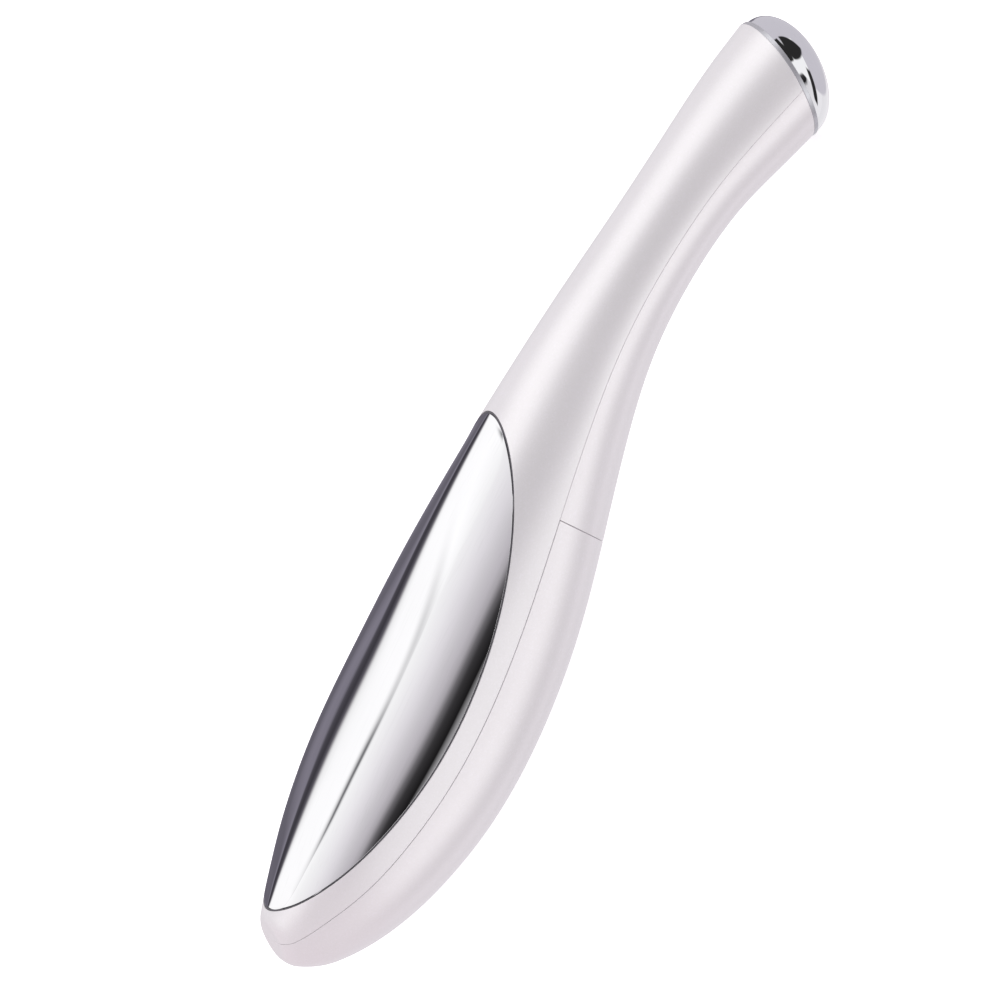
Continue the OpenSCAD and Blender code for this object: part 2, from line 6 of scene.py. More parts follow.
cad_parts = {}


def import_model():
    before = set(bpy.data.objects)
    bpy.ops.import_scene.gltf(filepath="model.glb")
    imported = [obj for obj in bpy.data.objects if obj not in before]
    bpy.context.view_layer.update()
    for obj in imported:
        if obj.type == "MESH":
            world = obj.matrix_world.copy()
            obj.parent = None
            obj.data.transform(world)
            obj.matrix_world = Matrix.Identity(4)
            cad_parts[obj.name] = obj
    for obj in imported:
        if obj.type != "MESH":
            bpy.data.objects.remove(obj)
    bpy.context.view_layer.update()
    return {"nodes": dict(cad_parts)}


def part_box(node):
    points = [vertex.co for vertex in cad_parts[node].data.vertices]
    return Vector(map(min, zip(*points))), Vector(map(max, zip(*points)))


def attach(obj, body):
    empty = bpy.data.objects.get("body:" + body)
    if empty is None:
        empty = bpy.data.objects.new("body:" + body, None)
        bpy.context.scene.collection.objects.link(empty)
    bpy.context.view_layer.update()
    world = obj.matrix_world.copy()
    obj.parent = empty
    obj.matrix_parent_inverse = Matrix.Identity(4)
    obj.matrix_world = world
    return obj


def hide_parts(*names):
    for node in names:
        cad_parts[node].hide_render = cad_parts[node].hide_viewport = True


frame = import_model()

# ---------------------------------------------------------------------------
# The body's shape: the same table of sections as the CAD model, in millimetres
# ---------------------------------------------------------------------------

# distance along the body, centre x and z, tilt, half width, half heights above
# and below the parting line, roundness of the upper and lower halves
ROWS = np.array([
    [0.0, 0.4, 20.3, 40, 1.2, 1.1, 1.1, 2.0, 2.0],
    [0.8, 0.5, 20.3, 40, 3.2, 2.8, 3.0, 2.0, 2.0],
    [2.0, 1.4, 19.6, 38, 5.0, 4.1, 4.7, 2.1, 2.1],
    [6.0, 5.0, 18.1, 30, 7.4, 6.2, 7.7, 2.4, 2.2],
    [12.0, 11.2, 15.8, 18, 10.0, 8.7, 9.9, 2.9, 2.3],
    [20.0, 20.0, 13.7, 8, 12.0, 11.0, 11.4, 3.3, 2.4],
    [30.0, 30.0, 12.4, 2, 13.2, 12.4, 12.0, 3.4, 2.5],
    [42.0, 42.0, 12.0, 0, 13.2, 12.7, 12.0, 3.3, 2.5],
    [55.0, 55.0, 12.6, 0, 12.2, 12.3, 11.6, 2.8, 2.4],
    [68.0, 68.0, 13.6, 1, 10.6, 11.0, 10.4, 2.3, 2.2],
    [80.0, 80.0, 14.3, 4, 8.9, 9.3, 9.0, 2.0, 2.0],
    [92.0, 92.0, 14.3, 9, 7.5, 7.6, 7.5, 2.0, 2.0],
    [104.0, 104.0, 13.1, 14, 6.8, 6.8, 6.8, 2.0, 2.0],
    [116.0, 116.0, 11.0, 21, 7.1, 7.1, 7.1, 2.0, 2.0],
    [126.0, 125.6, 8.5, 30, 8.2, 8.2, 8.2, 2.0, 2.0],
    [131.5, 130.6, 7.0, 35, 8.7, 8.7, 8.7, 2.0, 2.0]])
KNOTS, VALS = ROWS[:, 0], ROWS[:, 1:]
S_END = KNOTS[-1]
ORIGIN = np.array([-68.25, 0.0, 0.86])     # table frame to row frame, mm
WALL, GAP, PLATE_T, KEEL, GROOVE, DOOR_S = 1.3, 0.035, 0.95, 0.24, 0.09, 66.2
RIM_R, RIM_X, RIM_Z = 80.0, 38.2, 15.1


def knot_slopes():
    """Slopes at the rows that make the curve's second derivative continuous behind the nose."""
    n = len(KNOTS)
    m = np.zeros_like(VALS)
    m[0] = (VALS[1] - VALS[0]) / (KNOTS[1] - KNOTS[0])
    m[-1] = (VALS[-1] - VALS[-2]) / (KNOTS[-1] - KNOTS[-2])
    m[1:-1] = (VALS[2:] - VALS[:-2]) / (KNOTS[2:] - KNOTS[:-2])[:, None]
    left, right = np.zeros((n, n)), np.zeros_like(VALS)
    for i in range(n):
        if i <= 3 or i == n - 1:
            left[i, i], right[i] = 1, m[i]
        else:
            a, b = KNOTS[i] - KNOTS[i - 1], KNOTS[i + 1] - KNOTS[i]
            left[i, i - 1], left[i, i], left[i, i + 1] = 1 / a, 2 * (1 / a + 1 / b), 1 / b
            right[i] = 3 * ((VALS[i] - VALS[i - 1]) / a ** 2 + (VALS[i + 1] - VALS[i]) / b ** 2)
    return np.linalg.solve(left, right)


SLOPES = knot_slopes()


def section(s):
    s = np.asarray(s, float)
    i = np.clip(np.searchsorted(KNOTS, s, side="right") - 1, 0, len(KNOTS) - 2)
    h = KNOTS[i + 1] - KNOTS[i]
    t, h = ((s - KNOTS[i]) / h)[..., None], h[..., None]
    return ((2 * t ** 3 - 3 * t ** 2 + 1) * VALS[i] + (t ** 3 - 2 * t ** 2 + t) * h * SLOPES[i]
            + (3 * t ** 2 - 2 * t ** 3) * VALS[i + 1] + (t ** 3 - t ** 2) * h * SLOPES[i + 1])


def point(s, p, d=0.0, hollow=None, gap=0.0, rest=False):
    """Points of the surface in mm, table frame. p is in radians: 0 is the parting line at +Y, pi/2 the top."""
    s, p = np.broadcast_arrays(np.asarray(s, float), np.asarray(p, float))
    v = section(s)
    x, z, tilt = v[..., 0], v[..., 1], np.radians(v[..., 2])
    c, sn = np.cos(p), np.sin(p)
    up = sn >= 0
    n = np.where(up, v[..., 6], v[..., 7])
    f = np.radians(np.where(s >= 5, 90.0, 90.0 * np.power(np.clip(s, 0, None) / 5, 0.6)))
    a = v[..., 3] - d * np.sin(f)
    b = np.where(up, v[..., 4], v[..., 5]) - d * np.sin(f) - gap
    r = np.power(np.power(np.abs(c), n) + np.power(np.abs(sn), n), -1 / n)
    y, w, e = a * r * c, b * r * sn - gap, d * np.cos(f)
    if hollow is not None:
        w = w - hollow(s, y)
    x, z = x + w * np.sin(tilt) + e * np.cos(tilt), z + w * np.cos(tilt) - e * np.sin(tilt)
    if rest:        # the oval flat under the head, in one plane with the dome's lowest point
        over = z - (-0.86 + (129.3 - x) * 0.0138)
        z = z - over + (over + np.sqrt(over ** 2 + 0.06 ** 2)) / 2
    return np.stack([x, y, z], -1)


def unit(v):
    return v / np.maximum(np.linalg.norm(v, axis=-1, keepdims=True), 1e-12)


def surface(s, p, **how):
    """Positions and outward normals, and the two derivatives."""
    x = point(s, p, **how)
    ds, dp = 0.01, 0.0004
    xs = (point(s + ds, p, **how) - point(s - ds, p, **how)) / (2 * ds)
    xp = (point(s, p + dp, **how) - point(s, p - dp, **how)) / (2 * dp)
    return x, unit(np.cross(xp, xs)), xs, xp


def rim_height(x):
    return RIM_Z + RIM_R - np.sqrt(RIM_R ** 2 - (x - RIM_X) ** 2)


def rim_angle(s, o):
    """Where the plate's rim, raised by o mm, crosses the section. pi/2 outside the leaf."""
    s = np.asarray(s, float)
    lo, hi = np.zeros_like(s), np.full_like(s, math.pi / 2)
    for _ in range(44):
        m = (lo + hi) / 2
        q = point(s, m)
        above = q[..., 2] - rim_height(q[..., 0]) - o > 0
        hi, lo = np.where(above, m, hi), np.where(above, lo, m)
    return (lo + hi) / 2


def tip(o, inside, outside):
    for _ in range(44):
        m = (inside + outside) / 2
        q = point(np.array(m), np.array(math.pi / 2))
        if q[2] - rim_height(q[0]) - o > 0:
            inside = m
        else:
            outside = m
    return inside


def leaf(o, n):
    """The rim curve, raised by o, as stations and angles on the +Y side, from the nose tip to the handle tip."""
    a, b = tip(o, 30, 0.9), tip(o, 50, 84)
    s = a + (b - a) * (1 - np.cos(np.linspace(0, math.pi, n))) / 2
    p = rim_angle(s, o)
    p[0] = p[-1] = math.pi / 2
    return s, p


LEAF_S, LEAF_P = leaf(0.0, 241)
LEAF_Y = np.abs(point(LEAF_S, LEAF_P)[..., 1])


def hollow(s, y):
    """Depth of the shallow hollows on each side of the plate's ridge. They end at a soft line, and at the tips they narrow with the leaf."""
    wide = 0.68 * section(s)[..., 3]
    room = 0.96 * np.interp(s, LEAF_S, LEAF_Y) + 0.02
    l = wide * room / np.power(wide ** 6 + room ** 6, 1 / 6)
    c = 3.0 * l / wide                                   # the ridge is broad and soft
    q = (np.sqrt(y ** 2 + c ** 2) - c) / (np.sqrt(l ** 2 + c ** 2) - c)
    f = 4 * KEEL * (l / wide) * q * (1 - q)
    return (f + np.sqrt(f ** 2 + 0.018 ** 2)) / 2


# ---------------------------------------------------------------------------
# Mesh building. Every piece is a set of grids with exact normals
# ---------------------------------------------------------------------------

ARC = np.radians([0, 18, 36, 54, 72, 90])


class Shape:
    def __init__(self):
        self.x, self.n, self.faces, self.count = [], [], [], 0

    def grid(self, x, n, flip=False, keep=None):
        """x, n: (rows, columns, 3). keep: which cells are drawn."""
        r, c = x.shape[:2]
        idx = self.count + np.arange(r * c).reshape(r, c)
        q = np.stack([idx[:-1, :-1], idx[1:, :-1], idx[1:, 1:], idx[:-1, 1:]], -1)
        q = q[keep] if keep is not None else q.reshape(-1, 4)
        if flip:
            q = q[:, ::-1]
        self.x.append(x.reshape(-1, 3))
        self.n.append(n.reshape(-1, 3))
        self.faces.append(q)
        self.count += r * c
        return self

    def build(self, name, material):
        x, n = np.concatenate(self.x) + ORIGIN, unit(np.concatenate(self.n))
        faces = np.concatenate(self.faces)
        # face order follows the normals
        a, b, c, d = (x[faces[:, k]] for k in range(4))
        turn = np.einsum("ij,ij->i", np.cross(c - a, d - b), n[faces].sum(1)) < 0
        faces[turn] = faces[turn][:, ::-1]
        # the same point with the same normal is one vertex
        key = np.concatenate([np.round(x * 2000).astype(np.int64), np.round(n * 60).astype(np.int64)], 1)
        _, first, back = np.unique(key, axis=0, return_index=True, return_inverse=True)
        back = back.reshape(-1)
        x, n, faces = x[first], n[first], back[faces]
        polys = []
        for f in faces.tolist():
            g = [v for i, v in enumerate(f) if v != f[i - 1]]
            if len(set(g)) == len(g) and len(g) >= 3:
                polys.append(g)
        used = np.zeros(len(x), bool)
        for g in polys:
            used[g] = True
        new = np.cumsum(used) - 1
        mesh = bpy.data.meshes.new(name)
        mesh.from_pydata((x[used] * 0.001).tolist(), [], [[int(new[v]) for v in g] for g in polys])
        mesh.polygons.foreach_set("use_smooth", [True] * len(mesh.polygons))
        mesh.update()
        mesh.normals_split_custom_set_from_vertices(n[used].tolist())
        mesh.materials.append(material)
        obj = bpy.data.objects.new(name, mesh)
        bpy.context.scene.collection.objects.link(obj)
        return obj


def edge_dirs(x, n, away, ends=None):
    """For each point of an edge, the direction in the surface that leaves the piece."""
    t = np.gradient(x, axis=0)
    if ends is not None:
        t[0], t[-1] = ends
    b = unit(np.cross(t, n))
    return b * np.where(np.einsum("ij,ij->i", b, away) < 0, -1.0, 1.0)[:, None]


def rounded(x, n, left=0, right=0, low=0, high=0, tips=None):
    """Adds rounded edges of the given radii round a grid. The grid ends where the roundings begin."""
    bl = edge_dirs(x[:, 0], n[:, 0], x[:, 0] - x[:, min(1, x.shape[1] - 1)] + 1e-9, tips)
    br = edge_dirs(x[:, -1], n[:, -1], x[:, -1] - x[:, -2] + 1e-9, tips)
    if tips is not None:      # at a tip both edges leave along the body
        for b in (bl, br):
            b[0] = unit(np.cross(np.array([0, 1.0, 0]), n[0, 0]))
            b[-1] = unit(np.cross(np.array([0, 1.0, 0]), n[-1, 0]))
            b[0] *= -np.sign(np.dot(b[0], x[1, x.shape[1] // 2] - x[0, 0]))
            b[-1] *= -np.sign(np.dot(b[-1], x[-2, x.shape[1] // 2] - x[-1, 0]))
    b0 = edge_dirs(x[0], n[0], x[0] - x[1])
    b1 = edge_dirs(x[-1], n[-1], x[-1] - x[-2])

    def line(count, r0, r1):
        l = [(0, r0, t, 0) for t in ARC[:0:-1]] if r0 else []
        l += [(i, 0, 0, -1) for i in range(count)]
        l += [(count - 1, r1, t, 1) for t in ARC[1:]] if r1 else []
        return l

    rows, cols = line(x.shape[0], low, high), line(x.shape[1], left, right)
    xo, no = np.zeros((len(rows), len(cols), 3)), np.zeros((len(rows), len(cols), 3))
    for a, (i, ri, ti, ki) in enumerate(rows):
        for c, (j, rj, tj, kj) in enumerate(cols):
            p, m = x[i, j].copy(), n[i, j] * math.cos(ti) * math.cos(tj)
            if ki >= 0:
                b = (b0, b1)[ki][j]
                p += ri * (math.sin(ti) * b - (1 - math.cos(ti)) * n[i, j])
                m = m + b * math.sin(ti)
            if kj >= 0:
                b = (bl, br)[kj][i]
                p += rj * (math.sin(tj) * b - (1 - math.cos(tj)) * n[i, j])
                m = m + b * math.sin(tj)
            xo[a, c], no[a, c] = p, m
    return xo, unit(no)


def inset(s, p, r, xs, xp, b):
    """The (s, p) that lies r mm behind the edge point, against direction b."""
    a11, a12, a22 = (xs * xs).sum(-1), (xs * xp).sum(-1), (xp * xp).sum(-1)
    r1, r2 = -(r * (xs * b).sum(-1)), -(r * (xp * b).sum(-1))
    det = a11 * a22 - a12 ** 2
    return s + (a22 * r1 - a12 * r2) / det, p + (a11 * r2 - a12 * r1) / det


def rim_curve(o, n, r, outward):
    """The leaf's rim as (s, p) pulled back by r from the edge, away from the groove. outward: +1 for the plate, -1 for the shell."""
    s, p = leaf(o, n)
    x, m, xs, xp = surface(s, p)
    t = np.gradient(x, axis=0)
    t[0] = t[-1] = (0, 1, 0)
    b = unit(np.cross(t, m))
    centre = point(s, np.full_like(s, math.pi / 2))
    mid = point(np.full_like(s, 42.0), np.full_like(s, math.pi / 2))
    out = x - (centre * 0.7 + mid * 0.3)
    b *= np.where((b * out).sum(-1) < 0, -1.0, 1.0)[:, None] * outward
    s2, p2 = inset(s, p, r, xs, xp, b)
    p2[0] = p2[-1] = math.pi / 2
    return s2, p2


def strip(shape, a, b, normal):
    """A ruled face between two lines of points."""
    x = np.stack([a, b], 1)
    n = np.broadcast_to(normal, a.shape) if normal.ndim == 1 else normal
    shape.grid(x, np.stack([n, n], 1))


def mirror(x):
    return x * np.array([1.0, -1.0, 1.0])


# ---------------------------------------------------------------------------
# Materials
# ---------------------------------------------------------------------------

class Mat:
    """A Principled material whose colour, roughness and bump come from small node patterns in object space."""

    def __init__(self, name, **sockets):
        self.m = bpy.data.materials.new(name)
        self.m.use_nodes = True
        self.t = self.m.node_tree
        self.b = self.t.nodes["Principled BSDF"]
        self.pos = self.node("ShaderNodeTexCoord").outputs["Object"]
        for k, v in sockets.items():
            self.b.inputs[k.replace("_", " ")].default_value = v

    def node(self, kind, **props):
        n = self.t.nodes.new(kind)
        for k, v in props.items():
            setattr(n, k, v)
        return n

    def link(self, a, b):
        self.t.links.new(a, b)

    def stretched(self, scale):
        n = self.node("ShaderNodeMapping")
        n.inputs["Scale"].default_value = scale
        self.link(self.pos, n.inputs["Vector"])
        return n.outputs["Vector"]

    def noise(self, scale, detail=3, rough=0.55, stretch=None, distortion=0.0):
        n = self.node("ShaderNodeTexNoise")
        n.inputs["Scale"].default_value = scale
        n.inputs["Detail"].default_value = detail
        n.inputs["Roughness"].default_value = rough
        n.inputs["Distortion"].default_value = distortion
        self.link(self.stretched(stretch) if stretch else self.pos, n.inputs["Vector"])
        return n.outputs["Fac"]

    def cells(self, scale, feature="F1", output="Color", stretch=None):
        n = self.node("ShaderNodeTexVoronoi", feature=feature)
        n.inputs["Scale"].default_value = scale
        self.link(self.stretched(stretch) if stretch else self.pos, n.inputs["Vector"])
        return n.outputs[output]

    def math(self, op, a, b=0.0, clamp=False):
        n = self.node("ShaderNodeMath", operation=op, use_clamp=clamp)
        for i, v in enumerate((a, b)):
            if isinstance(v, (int, float)):
                n.inputs[i].default_value = v
            else:
                self.link(v, n.inputs[i])
        return n.outputs[0]

    def remap(self, v, a, b, c, d):
        n = self.node("ShaderNodeMapRange", clamp=True)
        self.link(v, n.inputs["Value"])
        for k, w in zip(("From Min", "From Max", "To Min", "To Max"), (a, b, c, d)):
            n.inputs[k].default_value = w
        return n.outputs["Result"]

    def ramp(self, v, stops):
        n = self.node("ShaderNodeValToRGB")
        self.link(v, n.inputs["Fac"])
        e = n.color_ramp.elements
        while len(e) < len(stops):
            e.new(0.5)
        for i, (at, c) in enumerate(stops):
            e[i].position = at
            e[i].color = (*c, 1)
        return n.outputs["Color"]

    def mix(self, f, a, b):
        n = self.node("ShaderNodeMix", data_type="RGBA")
        for i, v in ((0, f), (6, a), (7, b)):
            if isinstance(v, (int, float)):
                n.inputs[i].default_value = v
            elif isinstance(v, tuple):
                n.inputs[i].default_value = (*v, 1)
            else:
                self.link(v, n.inputs[i])
        return n.outputs[2]

    def out(self, colour=None, rough=None, bump=None, depth=0.00001, metallic=None):
        if colour is not None:
            self.link(colour, self.b.inputs["Base Color"])
        if rough is not None:
            self.link(rough, self.b.inputs["Roughness"])
        if metallic is not None:
            self.link(metallic, self.b.inputs["Metallic"])
        if bump is not None:
            n = self.node("ShaderNodeBump")
            n.inputs["Distance"].default_value = depth
            n.inputs["Strength"].default_value = 1.0
            self.link(bump, n.inputs["Height"])
            self.link(n.outputs["Normal"], self.b.inputs["Normal"])
        return self.m


def pearl(name, tint):
    """Pearl lacquer over white plastic: mica flakes in the colour, a clear coat over them, and a faint orange peel. The
    flakes carry painted glints (lighter flakes) and painted shade (darker flakes).
    """
    m = Mat(name, Coat_Weight=0.5, Coat_Roughness=0.18, Coat_IOR=1.45, Metallic=0.45, IOR=1.45)
    base = tuple(0.83 * t for t in tint)
    pale = tuple(0.86 * t for t in tint)
    cloud = m.noise(45, 2, 0.4)
    colour = m.mix(m.remap(cloud, 0.3, 0.7, 0, 1), base, pale)
    flakes = m.cells(5200)
    grain = m.node("ShaderNodeSeparateColor")
    m.link(flakes, grain.inputs[0])
    # painted glints: some flakes are lightened towards a pale lilac white, a sparkle fixed in the colour
    painted_flake_glint = m.remap(grain.outputs[0], 0.72, 1.0, 0.0, 0.30)
    colour = m.mix(painted_flake_glint, colour, (0.92, 0.89, 0.94))
    # painted shade: other flakes are darkened towards a deeper tint
    painted_flake_shade = m.remap(grain.outputs[1], 0.0, 0.3, 0.10, 0.0)
    colour = m.mix(painted_flake_shade, colour, tuple(0.72 * t for t in tint))
    rough = m.remap(grain.outputs[2], 0, 1, 0.33, 0.40)
    return m.out(colour, rough, m.noise(520, 2, 0.4), 0.0000012)


def polished(name, base, depth):
    """Mirror polish: fine wipe marks run along the body, and a thin haze varies the tint."""
    m = Mat(name, Metallic=1.0, Roughness=0.0)
    wipe = m.noise(900, 4, 0.6, stretch=(0.06, 1.0, 1.0))
    haze = m.noise(70, 3, 0.5)
    streak = m.noise(2600, 2, 0.5, stretch=(0.03, 1.0, 1.0))
    colour = m.mix(m.remap(haze, 0.3, 0.7, 0, 1), base, tuple(min(1.0, c * 1.03) for c in base))
    colour = m.mix(m.remap(streak, 0.55, 0.75, 0.0, 0.5), colour, tuple(c * 0.97 for c in base))
    return m.out(colour, None, wipe, depth)


def satin(name, base):
    """Satin chrome: fine turned lines round the axis, a soft haze and a few wipe marks."""
    m = Mat(name, Metallic=1.0)
    lines, haze, wipe = m.noise(7000, 3, 0.6, stretch=(1, 0.15, 1)), m.noise(120, 3, 0.5), m.noise(1500, 4, 0.6)
    colour = m.mix(m.remap(haze, 0.3, 0.7, 0, 1), tuple(c * 0.95 for c in base), tuple(c * 1.05 for c in base))
    colour = m.mix(m.remap(lines, 0.55, 0.75, 0.0, 0.4), colour, tuple(c * 0.9 for c in base))
    return m.out(colour, m.remap(wipe, 0.3, 0.7, 0.24, 0.34), lines, 0.0000006)


M_FRONT = pearl("pearl_front", (1.0, 0.975, 0.99))
# the back shell and the door take a slightly darker, pinker pearl than the front shell: painted shade on the lower
# pieces
M_BACK = pearl("pearl_back", (1.0, 0.965, 0.985))
M_DOOR = pearl("pearl_door", (1.0, 0.965, 0.985))
M_PLATE = polished("plate_metal", (0.88, 0.875, 0.89), 0.00000015)
M_RING = satin("collar_chrome", (0.50, 0.50, 0.53))
M_DOME = polished("button_chrome", (0.86, 0.86, 0.88), 0.00000010)


def rubber():
    m = Mat("seal_rubber", Specular_IOR_Level=0.35)
    grain = m.noise(4000, 3, 0.6)
    return m.out(m.mix(grain, (0.10, 0.095, 0.11), (0.17, 0.165, 0.18)), m.remap(grain, 0.3, 0.7, 0.55, 0.75), grain, 0.00001)


M_SEAL = rubber()

# Inner pieces: the CAD nodes keep their shape and get these finishes

def axis(m, k):
    """The x, y or z of the object's own place, in millimetres."""
    n = m.node("ShaderNodeSeparateXYZ")
    m.link(m.pos, n.inputs[0])
    return m.math("MULTIPLY", n.outputs[k], 1000.0)


def above(m, v, edge, soft=0.03):
    return m.remap(v, edge - soft, edge + soft, 0, 1)


def between(m, v, a, b, soft=0.03):
    return m.math("MULTIPLY", above(m, v, a, soft), m.math("SUBTRACT", 1.0, above(m, v, b, soft)))


def either(m, a, b):
    return m.math("MAXIMUM", a, b)


def moulded(name, colour, rough=0.42, speck=0.06, tinned=None):
    """Moulded plastic: spark-eroded grain, slow flow clouds and a few dust specks. tinned(m) gives where leads show."""
    m = Mat(name, IOR=1.46)
    grain, cloud, dust = m.noise(5200, 3, 0.6), m.noise(160, 3, 0.5, stretch=(0.5, 1, 1)), m.noise(9000, 2, 0.5)
    dark, pale = tuple(c * (1 - speck) for c in colour), tuple(min(1, c * (1 + speck) + 0.004) for c in colour)
    c = m.mix(m.remap(cloud, 0.3, 0.7, 0, 1), dark, pale)
    c = m.mix(m.remap(dust, 0.68, 0.76, 0, 0.5), c, tuple(x * 0.55 + 0.05 for x in colour))
    r, metal = m.remap(grain, 0.3, 0.7, rough - 0.08, rough + 0.1), None
    if tinned is not None:
        metal = tinned(m)
        c = m.mix(metal, c, m.mix(m.remap(grain, 0.3, 0.7, 0, 1), (0.62, 0.61, 0.58), (0.80, 0.79, 0.75)))
        r = m.math("ADD", m.math("MULTIPLY", r, m.math("SUBTRACT", 1.0, metal)), m.math("MULTIPLY", metal, m.remap(cloud, 0.3, 0.7, 0.2, 0.38)))
    return m.out(c, r, grain, 0.000006, metal)


def metal(name, colour, rough=0.28, along=(1, 0.05, 0.05), pits=0.0, thread=None, depth=0.000003):
    """Drawn or plated metal: lines of the tool, stains and small nicks. thread is (from z, pitch) in millimetres; the
    thread's grooves get painted shade in the colour.
    """
    m = Mat(name, Metallic=1.0)
    lines, stain, nick = m.noise(9000, 3, 0.65, stretch=along), m.noise(350, 4, 0.6), m.noise(2600, 2, 0.6)
    c = m.mix(m.remap(stain, 0.3, 0.7, 0, 1), tuple(x * 0.88 for x in colour), tuple(min(1, x * 1.08) for x in colour))
    c = m.mix(m.remap(lines, 0.55, 0.75, 0, 0.5), c, tuple(x * 0.72 for x in colour))
    r = m.math("ADD", m.remap(lines, 0.3, 0.7, rough - 0.06, rough + 0.08), m.remap(stain, 0.5, 0.75, 0, 0.12))
    h = m.math("SUBTRACT", m.math("MULTIPLY", lines, 0.4), m.math("MULTIPLY", m.remap(nick, 0.66, 0.74, 0, 1), 0.4 + pits))
    if thread is not None:
        z = axis(m, 2)
        turn = m.math("PINGPONG", m.math("DIVIDE", z, thread[1] / 2), 1.0)
        on = above(m, z, thread[0])
        groove = m.math("MULTIPLY", on, turn)
        h = m.math("ADD", m.math("MULTIPLY", h, 0.05), m.math("MULTIPLY", groove, 1.0))
        # painted shade: the thread's grooves are darkened to about a third of the metal's colour
        c = m.mix(m.math("MULTIPLY", on, m.remap(turn, 0.5, 0.0, 0.0, 0.6)), c, tuple(x * 0.35 for x in colour))
        depth = 0.00012
    return m.out(c, r, h, depth)


def board(name):
    """Solder mask over copper tracks, with tinned pads and the glass weave just showing."""
    m = Mat(name, IOR=1.5, Coat_Weight=0.3, Coat_Roughness=0.2)
    track = m.cells(420, "DISTANCE_TO_EDGE", "Distance", stretch=(0.5, 1.0, 0.001))
    pad = m.cells(520, "F1", "Distance", stretch=(1.0, 1.0, 0.001))
    weave = m.math("MULTIPLY", m.math("SINE", m.math("MULTIPLY", axis(m, 0), 14.0)), m.math("SINE", m.math("MULTIPLY", axis(m, 1), 14.0)))
    c = m.mix(m.remap(weave, -1, 1, 0, 1), (0.018, 0.20, 0.085), (0.025, 0.235, 0.10))
    copper = m.remap(track, 0.05, 0.08, 1, 0)
    c = m.mix(copper, c, (0.05, 0.36, 0.15))
    tin = m.remap(pad, 0.13, 0.16, 1, 0)
    c = m.mix(tin, c, (0.72, 0.71, 0.68))
    h = m.math("ADD", m.math("MULTIPLY", copper, 0.6), m.math("ADD", m.math("MULTIPLY", tin, 0.3), m.math("MULTIPLY", weave, 0.05)))
    return m.out(c, m.remap(m.noise(2000, 2, 0.5), 0.3, 0.7, 0.28, 0.4), h, 0.00003, tin)


def coil():
    """Black ferrite flanges and a waist of fine enamelled copper turns, with painted shade in the gaps between the
    turns.
    """
    m = Mat("copper_coil")
    lo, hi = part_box("boost_coil")
    z = axis(m, 2)
    a, b = lo.z * 1000, hi.z * 1000
    wound = between(m, z, a + 0.24 * (b - a), a + 0.76 * (b - a))
    turn = m.math("PINGPONG", m.math("DIVIDE", z, 0.07), 1.0)
    grain = m.noise(5000, 3, 0.6)
    c = m.mix(m.remap(grain, 0.3, 0.7, 0, 1), (0.03, 0.03, 0.034), (0.06, 0.06, 0.065))
    # painted shade: the copper darkens towards the gaps between the turns
    c = m.mix(wound, c, m.mix(m.remap(turn, 0.1, 0.7, 0, 1), (0.16, 0.045, 0.02), (0.72, 0.30, 0.12)))
    h = m.math("ADD", m.math("MULTIPLY", m.math("MULTIPLY", wound, turn), 1.0), m.math("MULTIPLY", grain, 0.06))
    return m.out(c, m.remap(grain, 0.3, 0.7, 0.3, 0.48), h, 0.00004, m.math("MULTIPLY", wound, 0.85))


def film():
    """Amber film with an etched metal track that runs to and fro."""
    m = Mat("film_amber", IOR=1.6, Coat_Weight=0.4, Coat_Roughness=0.12)
    x, y = axis(m, 0), axis(m, 1)
    pitch = 1.5
    u = m.math("DIVIDE", x, pitch)
    line = m.math("ABSOLUTE", m.math("SUBTRACT", m.math("FLOORED_MODULO", u, 1.0), 0.5))
    lines = m.math("MULTIPLY", m.remap(line, 0.24, 0.28, 1, 0), m.remap(m.math("ABSOLUTE", y), 2.7, 2.75, 1, 0))
    odd = m.math("GREATER_THAN", m.math("FLOORED_MODULO", m.math("ADD", m.math("DIVIDE", u, 2.0), 0.25), 1.0), 0.5)
    ends = m.math("ADD", m.math("MULTIPLY", odd, between(m, y, 2.3, 2.72)),
                  m.math("MULTIPLY", m.math("SUBTRACT", 1.0, odd), between(m, y, -2.72, -2.3)))
    track = either(m, lines, ends)
    cloud, grain = m.noise(260, 3, 0.5), m.noise(6000, 2, 0.5)
    c = m.mix(m.remap(cloud, 0.3, 0.7, 0, 1), (0.48, 0.22, 0.035), (0.62, 0.32, 0.06))
    c = m.mix(m.math("MULTIPLY", track, 0.8), c, (0.30, 0.16, 0.07))
    return m.out(c, m.remap(grain, 0.3, 0.7, 0.18, 0.3), m.math("ADD", track, m.math("MULTIPLY", grain, 0.08)), 0.00002)


